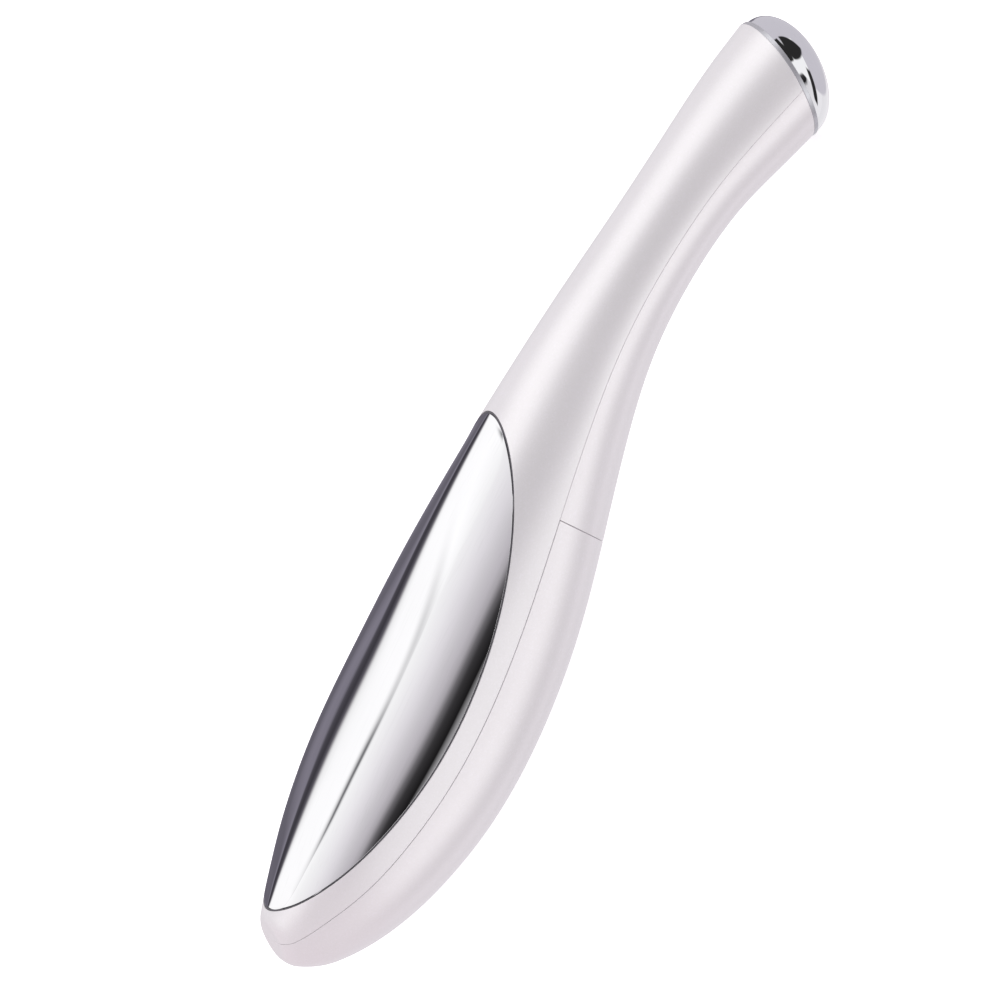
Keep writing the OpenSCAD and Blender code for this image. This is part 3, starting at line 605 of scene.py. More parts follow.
def cell():
    """A plain satin sleeve with its overlap seam and shrunk ends, and plated steel at both poles."""
    m = Mat("cell_jacket", Coat_Weight=0.35, Coat_Roughness=0.15)
    lo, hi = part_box("battery_cell")
    x, y = axis(m, 0), axis(m, 1)
    a, b = lo.x * 1000, hi.x * 1000
    sleeve = between(m, x, a + 0.25, b - 1.35, 0.05)
    band = above(m, x, b - 9.0, 0.05)
    seam = m.remap(m.math("ABSOLUTE", m.math("SUBTRACT", y, 1.2)), 0.05, 0.12, 1, 0)
    flake, cloud = m.noise(9000, 2, 0.5), m.noise(220, 3, 0.5, stretch=(0.3, 1, 1))
    body = m.mix(m.remap(cloud, 0.3, 0.7, 0, 1), (0.25, 0.29, 0.35), (0.31, 0.35, 0.42))
    body = m.mix(band, body, m.mix(m.remap(cloud, 0.3, 0.7, 0, 1), (0.50, 0.42, 0.24), (0.58, 0.49, 0.30)))
    body = m.mix(m.remap(flake, 0.6, 0.75, 0, 0.25), body, (0.7, 0.72, 0.76))
    body = m.mix(m.math("MULTIPLY", seam, 0.35), body, (0.12, 0.13, 0.15))
    steel = m.mix(m.remap(m.noise(2500, 3, 0.6), 0.3, 0.7, 0, 1), (0.60, 0.59, 0.55), (0.76, 0.75, 0.71))
    c = m.mix(sleeve, steel, body)
    bare = m.math("SUBTRACT", 1.0, sleeve)
    h = m.math("ADD", m.math("MULTIPLY", sleeve, 1.0), m.math("ADD", m.math("MULTIPLY", seam, 0.3), m.math("MULTIPLY", flake, 0.02)))
    return m.out(c, m.remap(cloud, 0.3, 0.7, 0.24, 0.36), h, 0.00008, m.math("ADD", m.math("MULTIPLY", bare, 0.7), 0.3))


def silicone(name, colour, scale=3200, bumps=900, depth=0.00001):
    """Soft rubber or silicone: matt, with filler grain, faint dimples and a bloom of dust."""
    m = Mat(name, Specular_IOR_Level=0.35, Sheen_Weight=0.15)
    grain, dust, dimple = m.noise(scale, 3, 0.6), m.noise(300, 4, 0.6), m.cells(bumps, "SMOOTH_F1", "Distance")
    c = m.mix(m.remap(grain, 0.3, 0.7, 0, 1), tuple(x * 0.85 for x in colour), tuple(min(1, x * 1.12) for x in colour))
    c = m.mix(m.remap(dust, 0.5, 0.8, 0, 0.2), c, tuple(x * 0.7 + 0.2 for x in colour))
    return m.out(c, m.remap(grain, 0.3, 0.7, 0.55, 0.75), m.math("ADD", grain, m.math("MULTIPLY", dimple, 0.8)), depth)


def insulation(name, colour):
    """Wire insulation: satin, with drawn streaks, scuffs and a little waviness."""
    m = Mat(name, Specular_IOR_Level=0.45)
    streak, scuff, wave = m.noise(6000, 3, 0.6, stretch=(0.08, 1, 1)), m.noise(900, 4, 0.65), m.noise(600, 2, 0.4)
    c = m.mix(m.remap(streak, 0.3, 0.7, 0, 1), tuple(x * 0.82 for x in colour), tuple(min(1, x * 1.15) for x in colour))
    c = m.mix(m.remap(scuff, 0.6, 0.8, 0, 0.3), c, tuple(x * 0.6 + 0.18 for x in colour))
    return m.out(c, m.remap(scuff, 0.3, 0.7, 0.36, 0.52), m.math("ADD", m.math("MULTIPLY", streak, 0.3), wave), 0.000012)


def chip_pins(m):
    return above(m, m.math("ABSOLUTE", axis(m, 1)), 2.02)


def driver_pins(m):
    lo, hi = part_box("heater_driver")
    y = axis(m, 1)
    return either(m, above(m, y, hi.y * 1000 - 0.68), m.math("SUBTRACT", 1.0, above(m, y, lo.y * 1000 + 0.68)))


def capacitor_ends(m):
    y = m.math("ABSOLUTE", axis(m, 1))
    return either(m, m.math("SUBTRACT", 1.0, above(m, y, 2.5)), above(m, y, 3.8))


def thermistor_leads(m):
    lo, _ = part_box("thermistor")
    return above(m, axis(m, 0), lo.x * 1000 + 3.02)


def cap_tabs(m):
    lo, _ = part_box("motor_end_cap")
    return m.math("SUBTRACT", 1.0, above(m, axis(m, 0), lo.x * 1000 + 0.78))


WHITE, BLACK = (0.80, 0.80, 0.785), (0.035, 0.035, 0.038)
STEEL, NICKEL = (0.62, 0.63, 0.65), (0.72, 0.70, 0.65)
M_WHITE, M_BLACK, M_BOARD = moulded("white_plastic", WHITE), moulded("black_plastic", BLACK), board("board_green")
M_RED = insulation("wire_red", (0.50, 0.045, 0.04))
inner_finish = {
    "switch_plunger": M_BLACK, "switch_body": M_BLACK, "switch_carrier": M_WHITE, "switch_board": M_BOARD,
    "battery_tray": M_WHITE, "battery_cell": cell(),
    "negative_spring": metal("spring_steel", NICKEL, 0.24, (1, 1, 1)), "positive_contact": metal("contact_plate", NICKEL, 0.28, (1, 1, 0.05)),
    "main_board": M_BOARD, "control_chip": moulded("chip_black", BLACK, 0.5, 0.15, chip_pins), "boost_coil": coil(),
    "capacitors": moulded("ceramic_part", (0.50, 0.36, 0.20), 0.5, 0.1, capacitor_ends),
    "heater_driver": moulded("driver_black", BLACK, 0.5, 0.15, driver_pins),
    "heater_film": film(), "thermal_pad": silicone("pad_grey", (0.42, 0.46, 0.50), 2400, 1500),
    "thermistor": moulded("bead_black", (0.02, 0.02, 0.022), 0.22, 0.2, thermistor_leads),
    "motor_can": metal("steel_can", STEEL, 0.24), "motor_end_cap": moulded("cap_white", WHITE, 0.45, 0.05, cap_tabs),
    "motor_shaft": metal("steel_shaft", STEEL, 0.16), "eccentric_weight": metal("weight_metal", (0.42, 0.43, 0.45), 0.46, (1, 1, 1), 0.8, None, 0.000012),
    "motor_cradle": silicone("cradle_rubber", (0.12, 0.125, 0.135)),
    "case_screw": metal("steel_screw_long", STEEL, 0.3, (1, 1, 1), thread=(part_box("case_screw")[0].z * 1000 + 1.5, 0.5)),
    "tray_screw": metal("steel_screw_short", STEEL, 0.3, (1, 1, 1), thread=(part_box("tray_screw")[0].z * 1000 + 1.3, 0.45)),
    "heater_wires": M_RED, "battery_wires": M_RED,
    "motor_wires": insulation("wire_blue", (0.05, 0.12, 0.36)), "switch_wires": insulation("wire_black", (0.03, 0.03, 0.034)),
}
for node, finish in inner_finish.items():
    carried = frame["nodes"][node]
    for held in carried.material_slots:
        held.material = finish
    if not carried.material_slots:
        carried.data.materials.append(finish)

# ---------------------------------------------------------------------------
# Outer pieces
# ---------------------------------------------------------------------------

PI = math.pi
FINE = 0.07        # radius of the shells' edges at the seams, mm
SIDE = 30          # columns from the parting line to the rim or the top
NOSE = np.array([0.4, 0.0, 20.3])
NOSE_N = np.array([-math.cos(math.radians(40)), 0, math.sin(math.radians(40))])


def cap_rows(x0, n0, gap=0.0):
    """Rows that close the small flat face at the very front."""
    centre = NOSE - gap * np.array([math.sin(math.radians(40)), 0, math.cos(math.radians(40))])
    f = np.array([0.0, 0.3, 0.6, 0.85])[:, None, None]
    x = centre + f * (x0 - centre) + NOSE_N * 0.05 * (1 - f ** 2)
    n = unit(NOSE_N * (1 - f ** 3) + n0 * f ** 3)
    return x, n


def part_angle(s, gap=0.0, base=0.0, sign=1.0, r=FINE):
    """The angle at which an edge rounding of radius r begins beside the parting line."""
    _, _, _, xp = surface(s, np.full_like(s, base), gap=gap)
    return base + sign * r / np.linalg.norm(xp, axis=-1)


def front_shell():
    shape = Shape()
    zs, zp = rim_curve(-GROOVE, 141, 0.06, -1)          # the recess's edge
    nose_s = np.concatenate([np.linspace(0, zs[0], 10)])
    tail_s = np.linspace(zs[-1], S_END - 0.10, 72)
    u = np.linspace(0, 1, SIDE + 1)

    def side(s, top):
        a = part_angle(s)
        p = a[:, None] + (top - a)[:, None] * u[None, :]
        return surface(np.broadcast_to(s[:, None], p.shape), p)[:2]

    def both(x, n, **edges):
        x, n = rounded(x, n, **edges)
        shape.grid(x, n)
        shape.grid(mirror(x), mirror(n))

    x, n = side(nose_s, np.full_like(nose_s, PI / 2))
    cx, cn = cap_rows(x[0], n[0])
    both(np.concatenate([cx, x]), np.concatenate([cn, n]), left=FINE)
    x, n = side(zs, zp)
    x, n = rounded(x, n, left=FINE, right=0.06)
    # the recess's wall goes down from the rounded edge
    drop = x[:, -1] - surface(zs, zp)[1] * 1.0
    x = np.concatenate([x, drop[:, None]], 1)
    n = np.concatenate([n, n[:, -1:]], 1)
    shape.grid(x, n)
    shape.grid(mirror(x), mirror(n))
    x, n = side(tail_s, np.full_like(tail_s, PI / 2))
    both(x, n, left=FINE, high=0.10)
    # inside
    s = np.concatenate([np.linspace(0, 6, 14), np.linspace(7, S_END, 90)])
    p = np.linspace(0, PI, 41)
    S, P = np.meshgrid(s, p, indexing="ij")
    ix, inn = point(S, P, d=WALL), -surface(S, P)[1]
    hole = (S[:-1, :-1] > 17) & (S[:-1, :-1] < 54) & (np.abs(P[:-1, :-1] + 0.04 - PI / 2) < 0.42)
    shape.grid(ix, inn, keep=~hole)
    for k, e in ((0, 0.0), (-1, PI)):
        o, on, _, _ = surface(s, np.full_like(s, e))
        strip(shape, o - on * FINE, ix[:, k], np.array([0, 0, -1.0]))
    o, on = surface(np.full_like(p, S_END), p)[:2]
    strip(shape, o - on * 0.1, ix[-1], unit(np.array([math.cos(math.radians(35)), 0, -math.sin(math.radians(35))])))
    # the recess's floor
    fs, fp = rim_curve(-GROOVE, 61, 0.0, -1)
    u2 = np.linspace(0, 1, 25)
    P2 = fp[:, None] + (PI - 2 * fp)[:, None] * u2
    S2 = np.broadcast_to(fs[:, None], P2.shape)
    shape.grid(point(S2, P2, d=1.05, hollow=hollow), surface(S2, P2)[1],
               keep=~((S2[:-1, :-1] > 17) & (S2[:-1, :-1] < 54) & (np.abs(P2[:-1, :-1] - PI / 2) < 0.42)))
    posts(shape, 63.5, 0, 18, 22.9, 2.3, 1.0)
    posts(shape, 12.0, 0, 18, 22.3, 2.0, 0.9)
    return shape.build("front_shell_skin", M_FRONT)


def posts(shape, x, y, z0, z1, r, bore, flare=0.25):
    """A moulded screw post that hangs from z1 and has its open end at z0."""
    a = np.linspace(0, 2 * PI, 49)
    prof = [(bore, z1, -1, 0), (bore, z0 + flare, -1, 0), (bore + flare * 0.5, z0, -0.7, -0.7), (bore + flare * 0.5, z0, 0, -1),
            (r - flare * 0.6, z0, 0, -1), (r, z0 + flare * 0.6, 1, 0), (r, z1 - 0.8, 1, 0), (r + 0.25, z1 - 0.25, 0.8, -0.6),
            (r + 0.8, z1, 0, -1)]
    if z0 > z1:
        prof = [(c[0], c[1], c[2], -c[3]) for c in prof]
    pr = np.array(prof)
    ca, sa = np.cos(a), np.sin(a)
    X = np.stack([x + pr[:, 0, None] * ca, y + pr[:, 0, None] * sa, np.broadcast_to(pr[:, 1, None], (len(pr), len(a)))], -1)
    N = np.stack([pr[:, 2, None] * ca, pr[:, 2, None] * sa, np.broadcast_to(pr[:, 3, None], (len(pr), len(a)))], -1)
    shape.grid(X, N)


def box_part(shape, lo, hi, r=0.2):
    """A block with rounded edges, given by its corners."""
    lo, hi = np.array(lo, float), np.array(hi, float)
    c, h = (lo + hi) / 2, (hi - lo) / 2
    k = np.tan(np.radians([-45, -30, -15, 0, 15, 30, 45]))
    for ax in range(3):
        u, v = [i for i in range(3) if i != ax]
        for sg in (-1, 1):
            # a cube face whose outer cells bend round the edges
            g = np.concatenate([[-1.0] * 0, k])
            U, V = np.meshgrid(g, g, indexing="ij")
            d = np.zeros((*U.shape, 3))
            d[..., ax], d[..., u], d[..., v] = sg, U, V
            dn = unit(d)
            core = np.zeros_like(d)
            core[..., ax] = sg * (h[ax] - r)
            core[..., u] = np.sign(np.round(U, 6)) * (h[u] - r)
            core[..., v] = np.sign(np.round(V, 6)) * (h[v] - r)
            x = c + core + r * dn
            # flat middle: the normals are the same directions dn that place the points
            n = dn.copy()
            shape.grid(x, n)


def back_shell():
    shape = Shape()
    s = np.concatenate([np.linspace(DOOR_S + 0.12, 80, 20)[:-1], np.linspace(80, S_END - 0.10, 62)])
    a = part_angle(s, base=PI, sign=1)
    u = np.linspace(0, 1, 2 * SIDE + 1)
    P = a[:, None] + (3 * PI - 2 * a)[:, None] * u
    S = np.broadcast_to(s[:, None], P.shape)
    x, n = surface(S, P)[:2]
    x, n = rounded(x, n, left=FINE, right=FINE, low=0.12, high=0.10)
    shape.grid(x, n)
    s2 = np.linspace(DOOR_S, S_END, 70)
    p = np.linspace(PI, 2 * PI, 41)
    S2, P2 = np.meshgrid(s2, p, indexing="ij")
    ix = point(S2, P2, d=WALL)
    shape.grid(ix, -surface(S2, P2)[1])
    for k, e in ((0, PI), (-1, 2 * PI)):
        o, on = surface(s2, np.full_like(s2, e))[:2]
        strip(shape, o - on * FINE, ix[:, k], np.array([0, 0, 1.0]))
    for row, end, sgn in ((0, DOOR_S, -1), (-1, S_END, 1)):
        o, on, xs, _ = surface(np.full_like(p, end), p)
        strip(shape, o - on * 0.11, ix[row], unit(xs.mean(0)) * sgn)
    box_part(shape, [66.8, -2.6, 4.0], [69.2, 2.6, 7.6])
    box_part(shape, [63.5, -2.6, 5.6], [69.2, 2.6, 7.6])
    # the column for the long screw, with the hollow for its head
    a2 = np.linspace(0, 2 * PI, 57)
    prof = np.array([(1.2, 17, 1, 0), (1.2, 7.2, -1, 0), (1.2, 7.2, 0, -1), (2.0, 7.2, 0, -1), (2.0, 7.2, -1, 0),
                     (2.0, 5.8, -1, 0), (2.15, 5.6, -0.5, -0.8), (2.65, 5.6, 0.5, -0.8), (2.8, 5.8, 1, 0),
                     (2.8, 16.8, 1, 0), (2.65, 17, 0, 1), (1.2, 17, 0, 1)])
    X = np.stack([63.5 + prof[:, 0, None] * np.cos(a2), prof[:, 0, None] * np.sin(a2),
                  np.broadcast_to(prof[:, 1, None], (len(prof), len(a2)))], -1)
    N = np.stack([prof[:, 2, None] * np.cos(a2), prof[:, 2, None] * np.sin(a2),
                  np.broadcast_to(prof[:, 3, None], (len(prof), len(a2)))], -1)
    shape.grid(X, N)
    return shape.build("back_shell_skin", M_BACK)


def battery_door():
    shape = Shape()
    end = DOOR_S - GAP
    s = np.concatenate([np.linspace(0, 6, 22)[:-1], np.linspace(6, end - 0.12, 76)])
    a = part_angle(s, gap=GAP, base=PI + 1e-6, sign=1)
    u = np.linspace(0, 1, 2 * SIDE + 1)
    P = a[:, None] + (3 * PI - 2 * a)[:, None] * u
    S = np.broadcast_to(s[:, None], P.shape)
    x, n = surface(S, P, gap=GAP, rest=True)[:2]
    cx, cn = cap_rows(x[0], n[0], GAP)
    x, n = rounded(np.concatenate([cx, x]), np.concatenate([cn, n]), left=FINE, right=FINE, high=0.12)
    shape.grid(x, n)
    s2 = np.concatenate([np.linspace(0, 6, 14), np.linspace(7, end, 60)])
    p = np.linspace(PI + 1e-6, 2 * PI - 1e-6, 41)
    S2, P2 = np.meshgrid(s2, p, indexing="ij")
    ix = point(S2, P2, d=WALL, gap=GAP)
    shape.grid(ix, -surface(S2, P2, gap=GAP)[1])
    for k in (0, -1):
        o, on = surface(s2, np.full_like(s2, p[k]), gap=GAP)[:2]
        strip(shape, o - on * FINE, ix[:, k], np.array([0, 0, 1.0]))
    o, on, xs, _ = surface(np.full_like(p, end), p, gap=GAP)
    strip(shape, o - on * 0.11, ix[-1], unit(xs.mean(0)))
    for y in (-4.8, 4.8):
        box_part(shape, [62, y - 0.9, 4.5], [65.4, y + 0.9, 7.6])
        box_part(shape, [62, y - 0.9, 6.7], [68.6, y + 0.9, 7.6])
    return shape.build("battery_door_skin", M_DOOR)


def massage_plate():
    shape = Shape()
    s, p = rim_curve(GROOVE, 171, 0.12, 1)
    v = np.linspace(-1, 1, 161)
    P = PI / 2 - (PI / 2 - p)[:, None] * v[None, :] * -1
    S = np.broadcast_to(s[:, None], P.shape)
    x, n = surface(S, P, hollow=hollow)[:2]
    x, n = rounded(x, n, left=0.07, right=0.07, tips=(np.array([0, 1.0, 0]), np.array([0, 1.0, 0])))
    m = surface(s, p)[1]
    mm = [m, mirror(m)] if x[len(s) // 2, 0, 1] > 0 else [mirror(m), m]
    x = np.concatenate([(x[:, 0] - mm[0] * 0.8)[:, None], x, (x[:, -1] - mm[1] * 0.8)[:, None]], 1)
    n = np.concatenate([n[:, :1], n, n[:, -1:]], 1)
    shape.grid(x, n)
    # underside
    v2 = np.linspace(-1, 1, 31)
    P2 = PI / 2 + (PI / 2 - p)[:, None] * v2
    S2 = np.broadcast_to(s[:, None], P2.shape)
    shape.grid(point(S2, P2, d=PLATE_T, hollow=hollow), -surface(S2, P2)[1])
    return shape.build("massage_plate_skin", M_PLATE)


def plate_seal():
    """A rubber bead in the groove, a little below both edges."""
    shape = Shape()
    n = 141
    so, po = leaf(0.02 - GROOVE, n)
    si, pi_ = leaf(GROOVE - 0.02, n)
    xo, no = surface(so, po)[:2]
    xi, ni = surface(si, pi_)[:2]
    across = unit(xi - xo)
    depth = 0.06
    rows_x, rows_n = [], []
    for f, d, lean in ((0, 0.8, -1), (0, depth + 0.05, -0.7), (0.25, depth, -0.25), (0.5, depth - 0.02, 0), (0.75, depth, 0.25),
                       (1, depth + 0.05, 0.7), (1, 0.8, 1)):
        base, nn = xo * (1 - f) + xi * f, unit(no * (1 - f) + ni * f)
        rows_x.append(base - nn * d)
        rows_n.append(unit(nn * (1 - abs(lean)) + across * lean + 1e-9))
    x, m = np.stack(rows_x, 1), np.stack(rows_n, 1)
    shape.grid(x, m)
    shape.grid(mirror(x), mirror(m))
    return shape.build("plate_seal_bead", M_SEAL)


# ---------------------------------------------------------------------------
# The tail: lathed pieces on the tail's own axis
# ---------------------------------------------------------------------------

TAIL = np.array([130.6, 0.0, 7.0])
T35 = math.radians(35)
AX = np.array([math.cos(T35), 0.0, -math.sin(T35)])       # out of the tail
UX = np.array([math.sin(T35), 0.0, math.cos(T35)])
UY = np.array([0.0, 1.0, 0.0])


def round_profile(points, radii, steps=5):
    """Points and normals of an open profile with rounded corners. The outside lies to the right of the way it runs."""
    pts = [np.array(q, float) for q in points]
    out = []
    seg_n = []
    for a, b in zip(pts[:-1], pts[1:]):
        t = (b - a) / np.linalg.norm(b - a)
        seg_n.append(np.array([t[1], -t[0]]))
    out.append((pts[0], seg_n[0]))
    for i in range(1, len(pts) - 1):
        r, q = radii[i - 1], pts[i]
        t0 = (pts[i] - pts[i - 1]) / np.linalg.norm(pts[i] - pts[i - 1])
        t1 = (pts[i + 1] - pts[i]) / np.linalg.norm(pts[i + 1] - pts[i])
        if r == 0:
            out += [(q, seg_n[i - 1]), (q, seg_n[i])]
            continue
        ang = math.acos(max(-1, min(1, float(t0 @ t1))))
        back = r * math.tan(ang / 2)
        a, b = q - t0 * back, q + t1 * back
        for k in range(steps + 1):
            f = k / steps
            nn = seg_n[i - 1] * math.sin((1 - f) * ang) + seg_n[i] * math.sin(f * ang)
            nn = nn / np.linalg.norm(nn)
            side = 1 if (t0[0] * t1[1] - t0[1] * t1[0]) > 0 else -1
            centre = a - seg_n[i - 1] * r * side
            out.append((centre + nn * r * side, nn))
    out.append((pts[-1], seg_n[-1]))
    return out


def lathe(shape, prof, segs=128):
    r = np.array([q[0] for q in prof])
    m = np.array([q[1] for q in prof])
    a = np.linspace(0, 2 * PI, segs + 1)
    ca, sa = np.cos(a)[None, :, None], np.sin(a)[None, :, None]
    radial = ca * UX + sa * UY
    x = TAIL + r[:, 0, None, None] * radial + r[:, 1, None, None] * AX
    n = m[:, 0, None, None] * radial + m[:, 1, None, None] * AX
    shape.grid(x, n)


def tail_ring():
    shape = Shape()
    lathe(shape, round_profile([(5.0, 0), (6.1, 0), (6.1, -1.4), (6.8, -1.4), (6.8, 0.0), (8.7, 0.0), (8.7, 0.6), (8.58, 0.6),
                                (8.58, 0.2), (5.0, 0.2), (5.0, 0)],
                               [0.05, 0.1, 0.1, 0.05, 0.08, 0.05, 0.04, 0.04, 0.06]), 144)
    return shape.build("tail_ring_lathe", M_RING)


def power_button():
    """The dome leans up: the rows above its straight skirt are shifted towards UX."""
    shape = Shape()
    top, low, R, H, lean = 1.0, 0.55, 8.5, 5.0, 0.18

    def oval(a, R, H):
        c, k = math.cos(a), math.sin(a)
        n = np.array([c / R, k / H])
        return np.array([R * c, top + H * k]), n / np.linalg.norm(n)

    def spin(prof, segs):
        a = np.linspace(0, 2 * PI, segs + 1)[None, :, None]
        radial = np.cos(a) * UX + np.sin(a) * UY
        r, h = (np.array([q[0][k] for q in prof])[:, None, None] for k in (0, 1))
        m, k = (np.array([q[1][k] for q in prof])[:, None, None] for k in (0, 1))
        x = TAIL + r * radial + h * AX + lean * np.maximum(h - top, 0) * UX
        n = m * radial + k * AX
        n = n - np.where(h > top, lean * (n @ UX)[..., None], 0) * AX
        shape.grid(x, unit(n))

    prof = [((R - 1, low), (0, -1)), ((R - 0.08, low), (0, -1)), ((R - 0.024, low + 0.024), (0.7, -0.7)), ((R, low + 0.08), (1, 0))]
    prof += [oval(k / 48 * PI / 2, R, H) for k in range(48)] + [((1e-6, top + H), (0, 1))]
    spin(prof, 144)
    inner = [oval((1 - k / 24) * math.radians(70), R - 1, H - 1) for k in range(25)]
    spin([(a, -b) for a, b in inner] + [((R - 1, low), (-1, 0))], 72)
    lathe(shape, round_profile([(2.0, top + H - 0.8), (2.0, -1.0), (0.0, -1.0)][::-1], [0.15]), 64)
    return shape.build("power_button_dome", M_DOME)


pieces = [
    (front_shell(), "casing", "front_shell", "pearl_shell"),
    (back_shell(), "casing", "back_shell", "pearl_shell"),
    (battery_door(), "door", "battery_door", "door_shell"),
    (massage_plate(), "casing", "massage_plate", "plate_metal"),
    (plate_seal(), "casing", "plate_seal", "seal_rubber"),
    (tail_ring(), "casing", "tail_ring", "collar_chrome"),
    (power_button(), "button", "power_button", "button_chrome"),
]
for obj, body, node, slot in pieces:
    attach(obj, body)
    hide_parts(node)

# ---------------------------------------------------------------------------
# Floor, light and camera
# ---------------------------------------------------------------------------

scene = bpy.context.scene
scene.view_settings.view_transform = "Standard"
scene.view_settings.look = "None"


def floor():
    mesh = bpy.data.meshes.new("floor")
    r = 3.0
    mesh.from_pydata([(-r, -r, 0), (r, -r, 0), (r, r, 0), (-r, r, 0)], [], [(0, 1, 2, 3)])
    obj = bpy.data.objects.new("floor", mesh)
    scene.collection.objects.link(obj)
    m = bpy.data.materials.new("floor_pale")
    m.use_nodes = True
    b = m.node_tree.nodes["Principled BSDF"]
    b.inputs["Base Color"].default_value = (0.93, 0.925, 0.93, 1)
    b.inputs["Roughness"].default_value = 0.9
    b.inputs["Specular IOR Level"].default_value = 0.0
    b.inputs["Emission Color"].default_value = (1, 0.99, 1, 1)
    b.inputs["Emission Strength"].default_value = 0.55
    mesh.materials.append(m)
    obj.location.z = -0.0002
    obj.visible_glossy = False
    obj.visible_diffuse = False


def world():
    """A studio made of directions only: soft fields that run along the wand. The angle is from straight up towards the
    front (-Y). The mirror surfaces see dark cards beside the wand, the satin and matt ones a plain soft tent."""
    w = bpy.data.worlds.new("studio")
    scene.world = w
    w.use_nodes = True
    t = w.node_tree
    t.nodes.clear()

    def node(kind, **props):
        n = t.nodes.new(kind)
        for k, v in props.items():
            setattr(n, k, v)
        return n

    def calc(op, a, b=0.0, c=0.0, clamp=False):
        n = node("ShaderNodeMath", operation=op, use_clamp=clamp)
        for i, v in enumerate((a, b, c)[:len(n.inputs)]):
            if isinstance(v, (int, float)):
                n.inputs[i].default_value = v
            else:
                t.links.new(v, n.inputs[i])
        return n.outputs[0]

    co = node("ShaderNodeTexCoord").outputs["Generated"]
    xyz = node("ShaderNodeSeparateXYZ")
    t.links.new(co, xyz.inputs[0])
    dx, dy, dz = xyz.outputs
    angle = calc("ARCTAN2", calc("MULTIPLY", dy, -1.0), dz)
    turn = calc("ADD", calc("DIVIDE", angle, 2 * PI), 0.5)            # 0..1 for -180..180 degrees

    def fields(stops):
        """Brightness by angle, stored at half strength and doubled again by the background."""
        ramp = node("ShaderNodeValToRGB")
        t.links.new(turn, ramp.inputs[0])
        e = ramp.color_ramp.elements
        while len(e) < len(stops):
            e.new(0.5)
        for i, (deg, v, tint) in enumerate(stops):
            e[i].position = deg / 360 + 0.5
            e[i].color = (v / 2 * (1 + (0.5 if tint < 0.06 else -0.4) * tint), v / 2 * (1 - tint), v / 2 * (1 + tint), 1)
        bg = node("ShaderNodeBackground")
        t.links.new(ramp.outputs[0], bg.inputs[0])
        bg.inputs[1].default_value = 2.0
        return bg.outputs[0]

    tent = fields([(-180, 1.10, 0.02), (-165, 0.80, 0.02), (-140, 0.95, 0.02), (-110, 0.80, 0.02), (-90, 0.68, 0.02), (-65, 0.82, 0.02),
                   (-45, 0.72, 0.02), (-32, 0.96, 0.01), (-14, 1.38, 0.0), (6, 1.50, 0.0), (20, 1.38, 0.0), (30, 0.96, 0.01),
                   (40, 0.61, 0.02), (55, 0.54, 0.01), (75, 0.54, 0.02), (90, 0.62, 0.02), (104, 0.86, 0.01), (117, 1.46, 0.0),
                   (130, 1.60, 0.0), (140, 1.20, 0.0), (148, 0.78, 0.02), (158, 0.60, 0.02), (170, 0.75, 0.02), (180, 1.10, 0.02)])
    cards = fields([(-180, 0.85, 0.01), (-130, 0.90, 0.01), (-120, 0.60, 0.03), (-113, 0.34, 0.08), (-104, 0.23, 0.09), (-95, 0.17, 0.10),
                    (-88, 0.145, 0.10), (-83, 0.145, 0.10), (-80, 0.19, 0.10), (-77, 0.24, 0.10), (-75.4, 0.22, 0.10),
                    (-74.4, 0.07, 0.10), (-69, 0.05, 0.10), (-66.5, 0.06, 0.10), (-64.5, 0.12, 0.08), (-62, 0.38, 0.02),
                    (-60.5, 0.62, 0.01), (-59.2, 0.80, 0.0), (-58, 0.92, 0.0), (-54, 1.08, 0.0), (-30, 1.12, 0.0), (-10, 1.0, 0.0),
                    (20, 0.90, 0.01), (45, 0.77, 0.02), (60, 0.66, 0.02), (78, 0.54, 0.03), (86, 0.42, 0.03), (93, 0.15, 0.03),
                    (99, 0.04, 0.03), (107, 0.01, 0.03), (114, 0.75, 0.01), (150, 0.90, 0.01)])
    # a narrow dark card just in front of straight up, only over the middle of the head
    card = node("ShaderNodeMapRange", interpolation_type="SMOOTHSTEP")
    t.links.new(calc("ABSOLUTE", calc("ADD", angle, math.radians(27))), card.inputs["Value"])
    reach = node("ShaderNodeMapRange", interpolation_type="SMOOTHSTEP")
    t.links.new(calc("ABSOLUTE", calc("ADD", dx, 0.12)), reach.inputs["Value"])
    for n, a, b, top in ((card, math.radians(4), math.radians(17), 0.85), (reach, 0.06, 0.19, 1.0)):
        for k, v in zip(("From Min", "From Max", "To Min", "To Max"), (a, b, top, 0.0)):
            n.inputs[k].default_value = v
    dark = node("ShaderNodeBackground")
    dark.inputs[0].default_value = (0.05, 0.05, 0.06, 1)
    lined = node("ShaderNodeMixShader")
    t.links.new(calc("MULTIPLY", card.outputs["Result"], reach.outputs["Result"]), lined.inputs[0])
    t.links.new(cards, lined.inputs[1])
    t.links.new(dark.outputs[0], lined.inputs[2])

    def smooth(v, a, b, top=1.0):
        n = node("ShaderNodeMapRange", interpolation_type="SMOOTHSTEP")
        t.links.new(v, n.inputs["Value"])
        for k, w in zip(("From Min", "From Max", "To Min", "To Max"), (a, b, 0.0, top)):
            n.inputs[k].default_value = w
        return n.outputs["Result"]

    def lay(below, mask, colour):
        bg = node("ShaderNodeBackground")
        bg.inputs[0].default_value = (*colour, 1)
        n = node("ShaderNodeMixShader")
        t.links.new(mask, n.inputs[0])
        t.links.new(below, n.inputs[1])
        t.links.new(bg.outputs[0], n.inputs[2])
        return n.outputs[0]

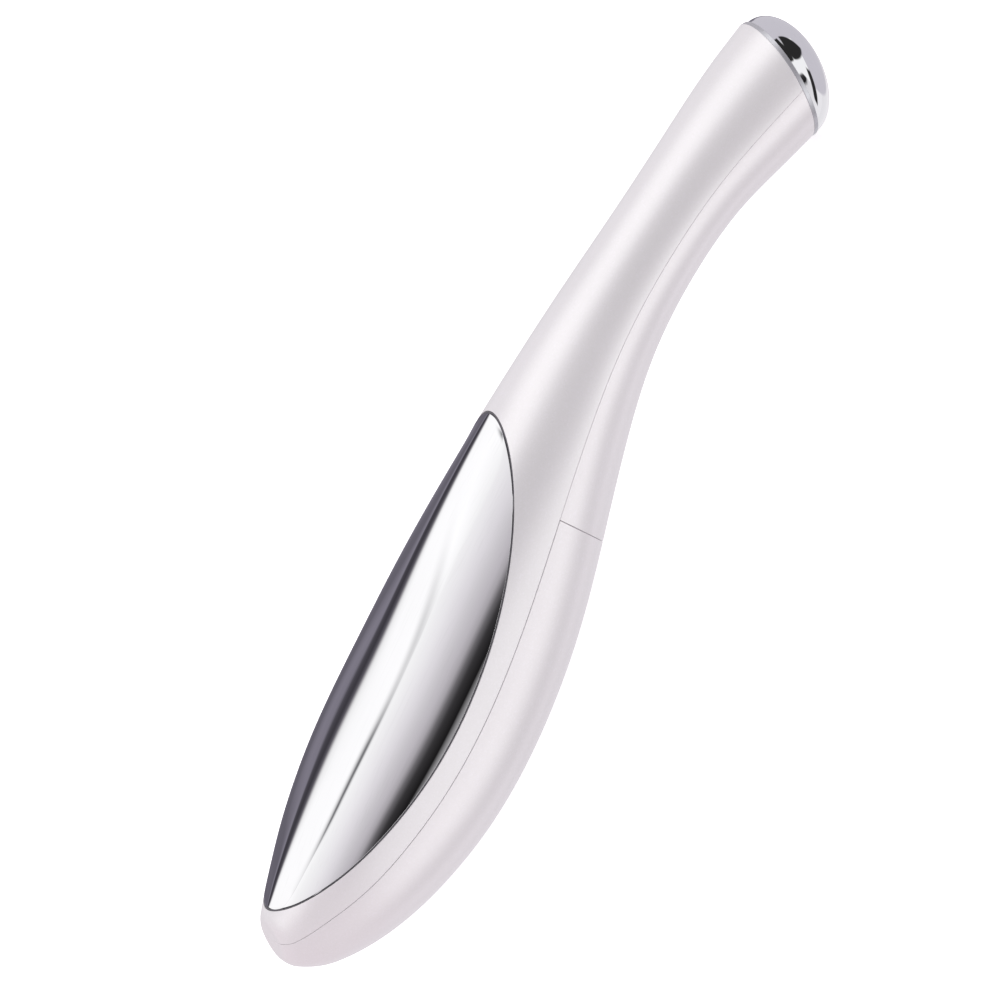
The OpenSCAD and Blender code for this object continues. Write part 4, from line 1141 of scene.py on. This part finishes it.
    # beyond the tail: a grey-lilac card behind, a white one in front, a black one above it and a thin black edge between
    front = calc("MULTIPLY", dy, -1.0)
    tail = smooth(dx, 0.26, 0.33)
    behind = calc("SUBTRACT", 1.0, smooth(angle, math.radians(14), math.radians(38)))
    behind = calc("MAXIMUM", behind, smooth(calc("ADD", angle, calc("MULTIPLY", dx, math.radians(30))), math.radians(150), math.radians(154)))
    cards = lay(lined.outputs[0], calc("MULTIPLY", tail, behind), (0.62, 0.60, 0.65))
    cards = lay(cards, calc("MULTIPLY", tail, calc("SUBTRACT", 1.0, behind)), (1.0, 1.0, 1.0))
    slant = calc("ADD", dz, calc("MULTIPLY", calc("SUBTRACT", dx, 0.56), 1.5))
    black = calc("MULTIPLY", smooth(slant, 0.16, 0.28), smooth(front, 0.03, 0.09))
    black = calc("MULTIPLY", black, calc("MULTIPLY", smooth(dx, 0.46, 0.56), calc("SUBTRACT", 1.0, smooth(dz, 0.62, 0.70))))
    edge = calc("ABSOLUTE", calc("SUBTRACT", calc("ADD", angle, calc("MULTIPLY", dx, math.radians(30))), math.radians(147)))
    edge = calc("MULTIPLY", calc("SUBTRACT", 1.0, smooth(edge, math.radians(8), math.radians(12), 1.0)),
                calc("SUBTRACT", 1.0, smooth(calc("ABSOLUTE", calc("SUBTRACT", dx, 0.25)), 0.36, 0.44)))
    cards = lay(cards, calc("MAXIMUM", black, edge), (0.025, 0.025, 0.025))
    # the nose sees one plain warm card
    tent = lay(tent, calc("SUBTRACT", 1.0, smooth(dx, -0.70, -0.30)), (0.90, 0.83, 0.87))
    plain = node("ShaderNodeBackground")
    plain.inputs[0].default_value = (1, 1, 1, 1)
    plain.inputs[1].default_value = 1.0
    seen = node("ShaderNodeLightPath")
    kind = node("ShaderNodeMixShader")
    t.links.new(seen.outputs["Is Singular Ray"], kind.inputs[0])
    t.links.new(tent, kind.inputs[1])
    t.links.new(cards, kind.inputs[2])
    mixer = node("ShaderNodeMixShader")
    t.links.new(seen.outputs["Is Camera Ray"], mixer.inputs[0])
    t.links.new(kind.outputs[0], mixer.inputs[1])
    t.links.new(plain.outputs[0], mixer.inputs[2])
    out = node("ShaderNodeOutputWorld")
    t.links.new(mixer.outputs[0], out.inputs[0])


def camera():
    right = Vector((0.42420, -0.38271, -0.82073)).normalized()
    up = Vector((0.90557, 0.17927, 0.38446))
    back = right.cross(up).normalized()
    up = back.cross(right).normalized()
    target = Vector((-0.00225, 0, 0.01486)) - 0.00315 * right + 0.000656 * up
    data = bpy.data.cameras.new("camera")
    data.sensor_width = 36
    data.lens = 411.44
    data.clip_start, data.clip_end = 0.05, 20
    cam = bpy.data.objects.new("camera", data)
    scene.collection.objects.link(cam)
    m = Matrix((right, up, back)).transposed().to_4x4()
    m.translation = target + 1.5 * back
    cam.matrix_world = m
    scene.camera = cam


floor()
world()
camera()
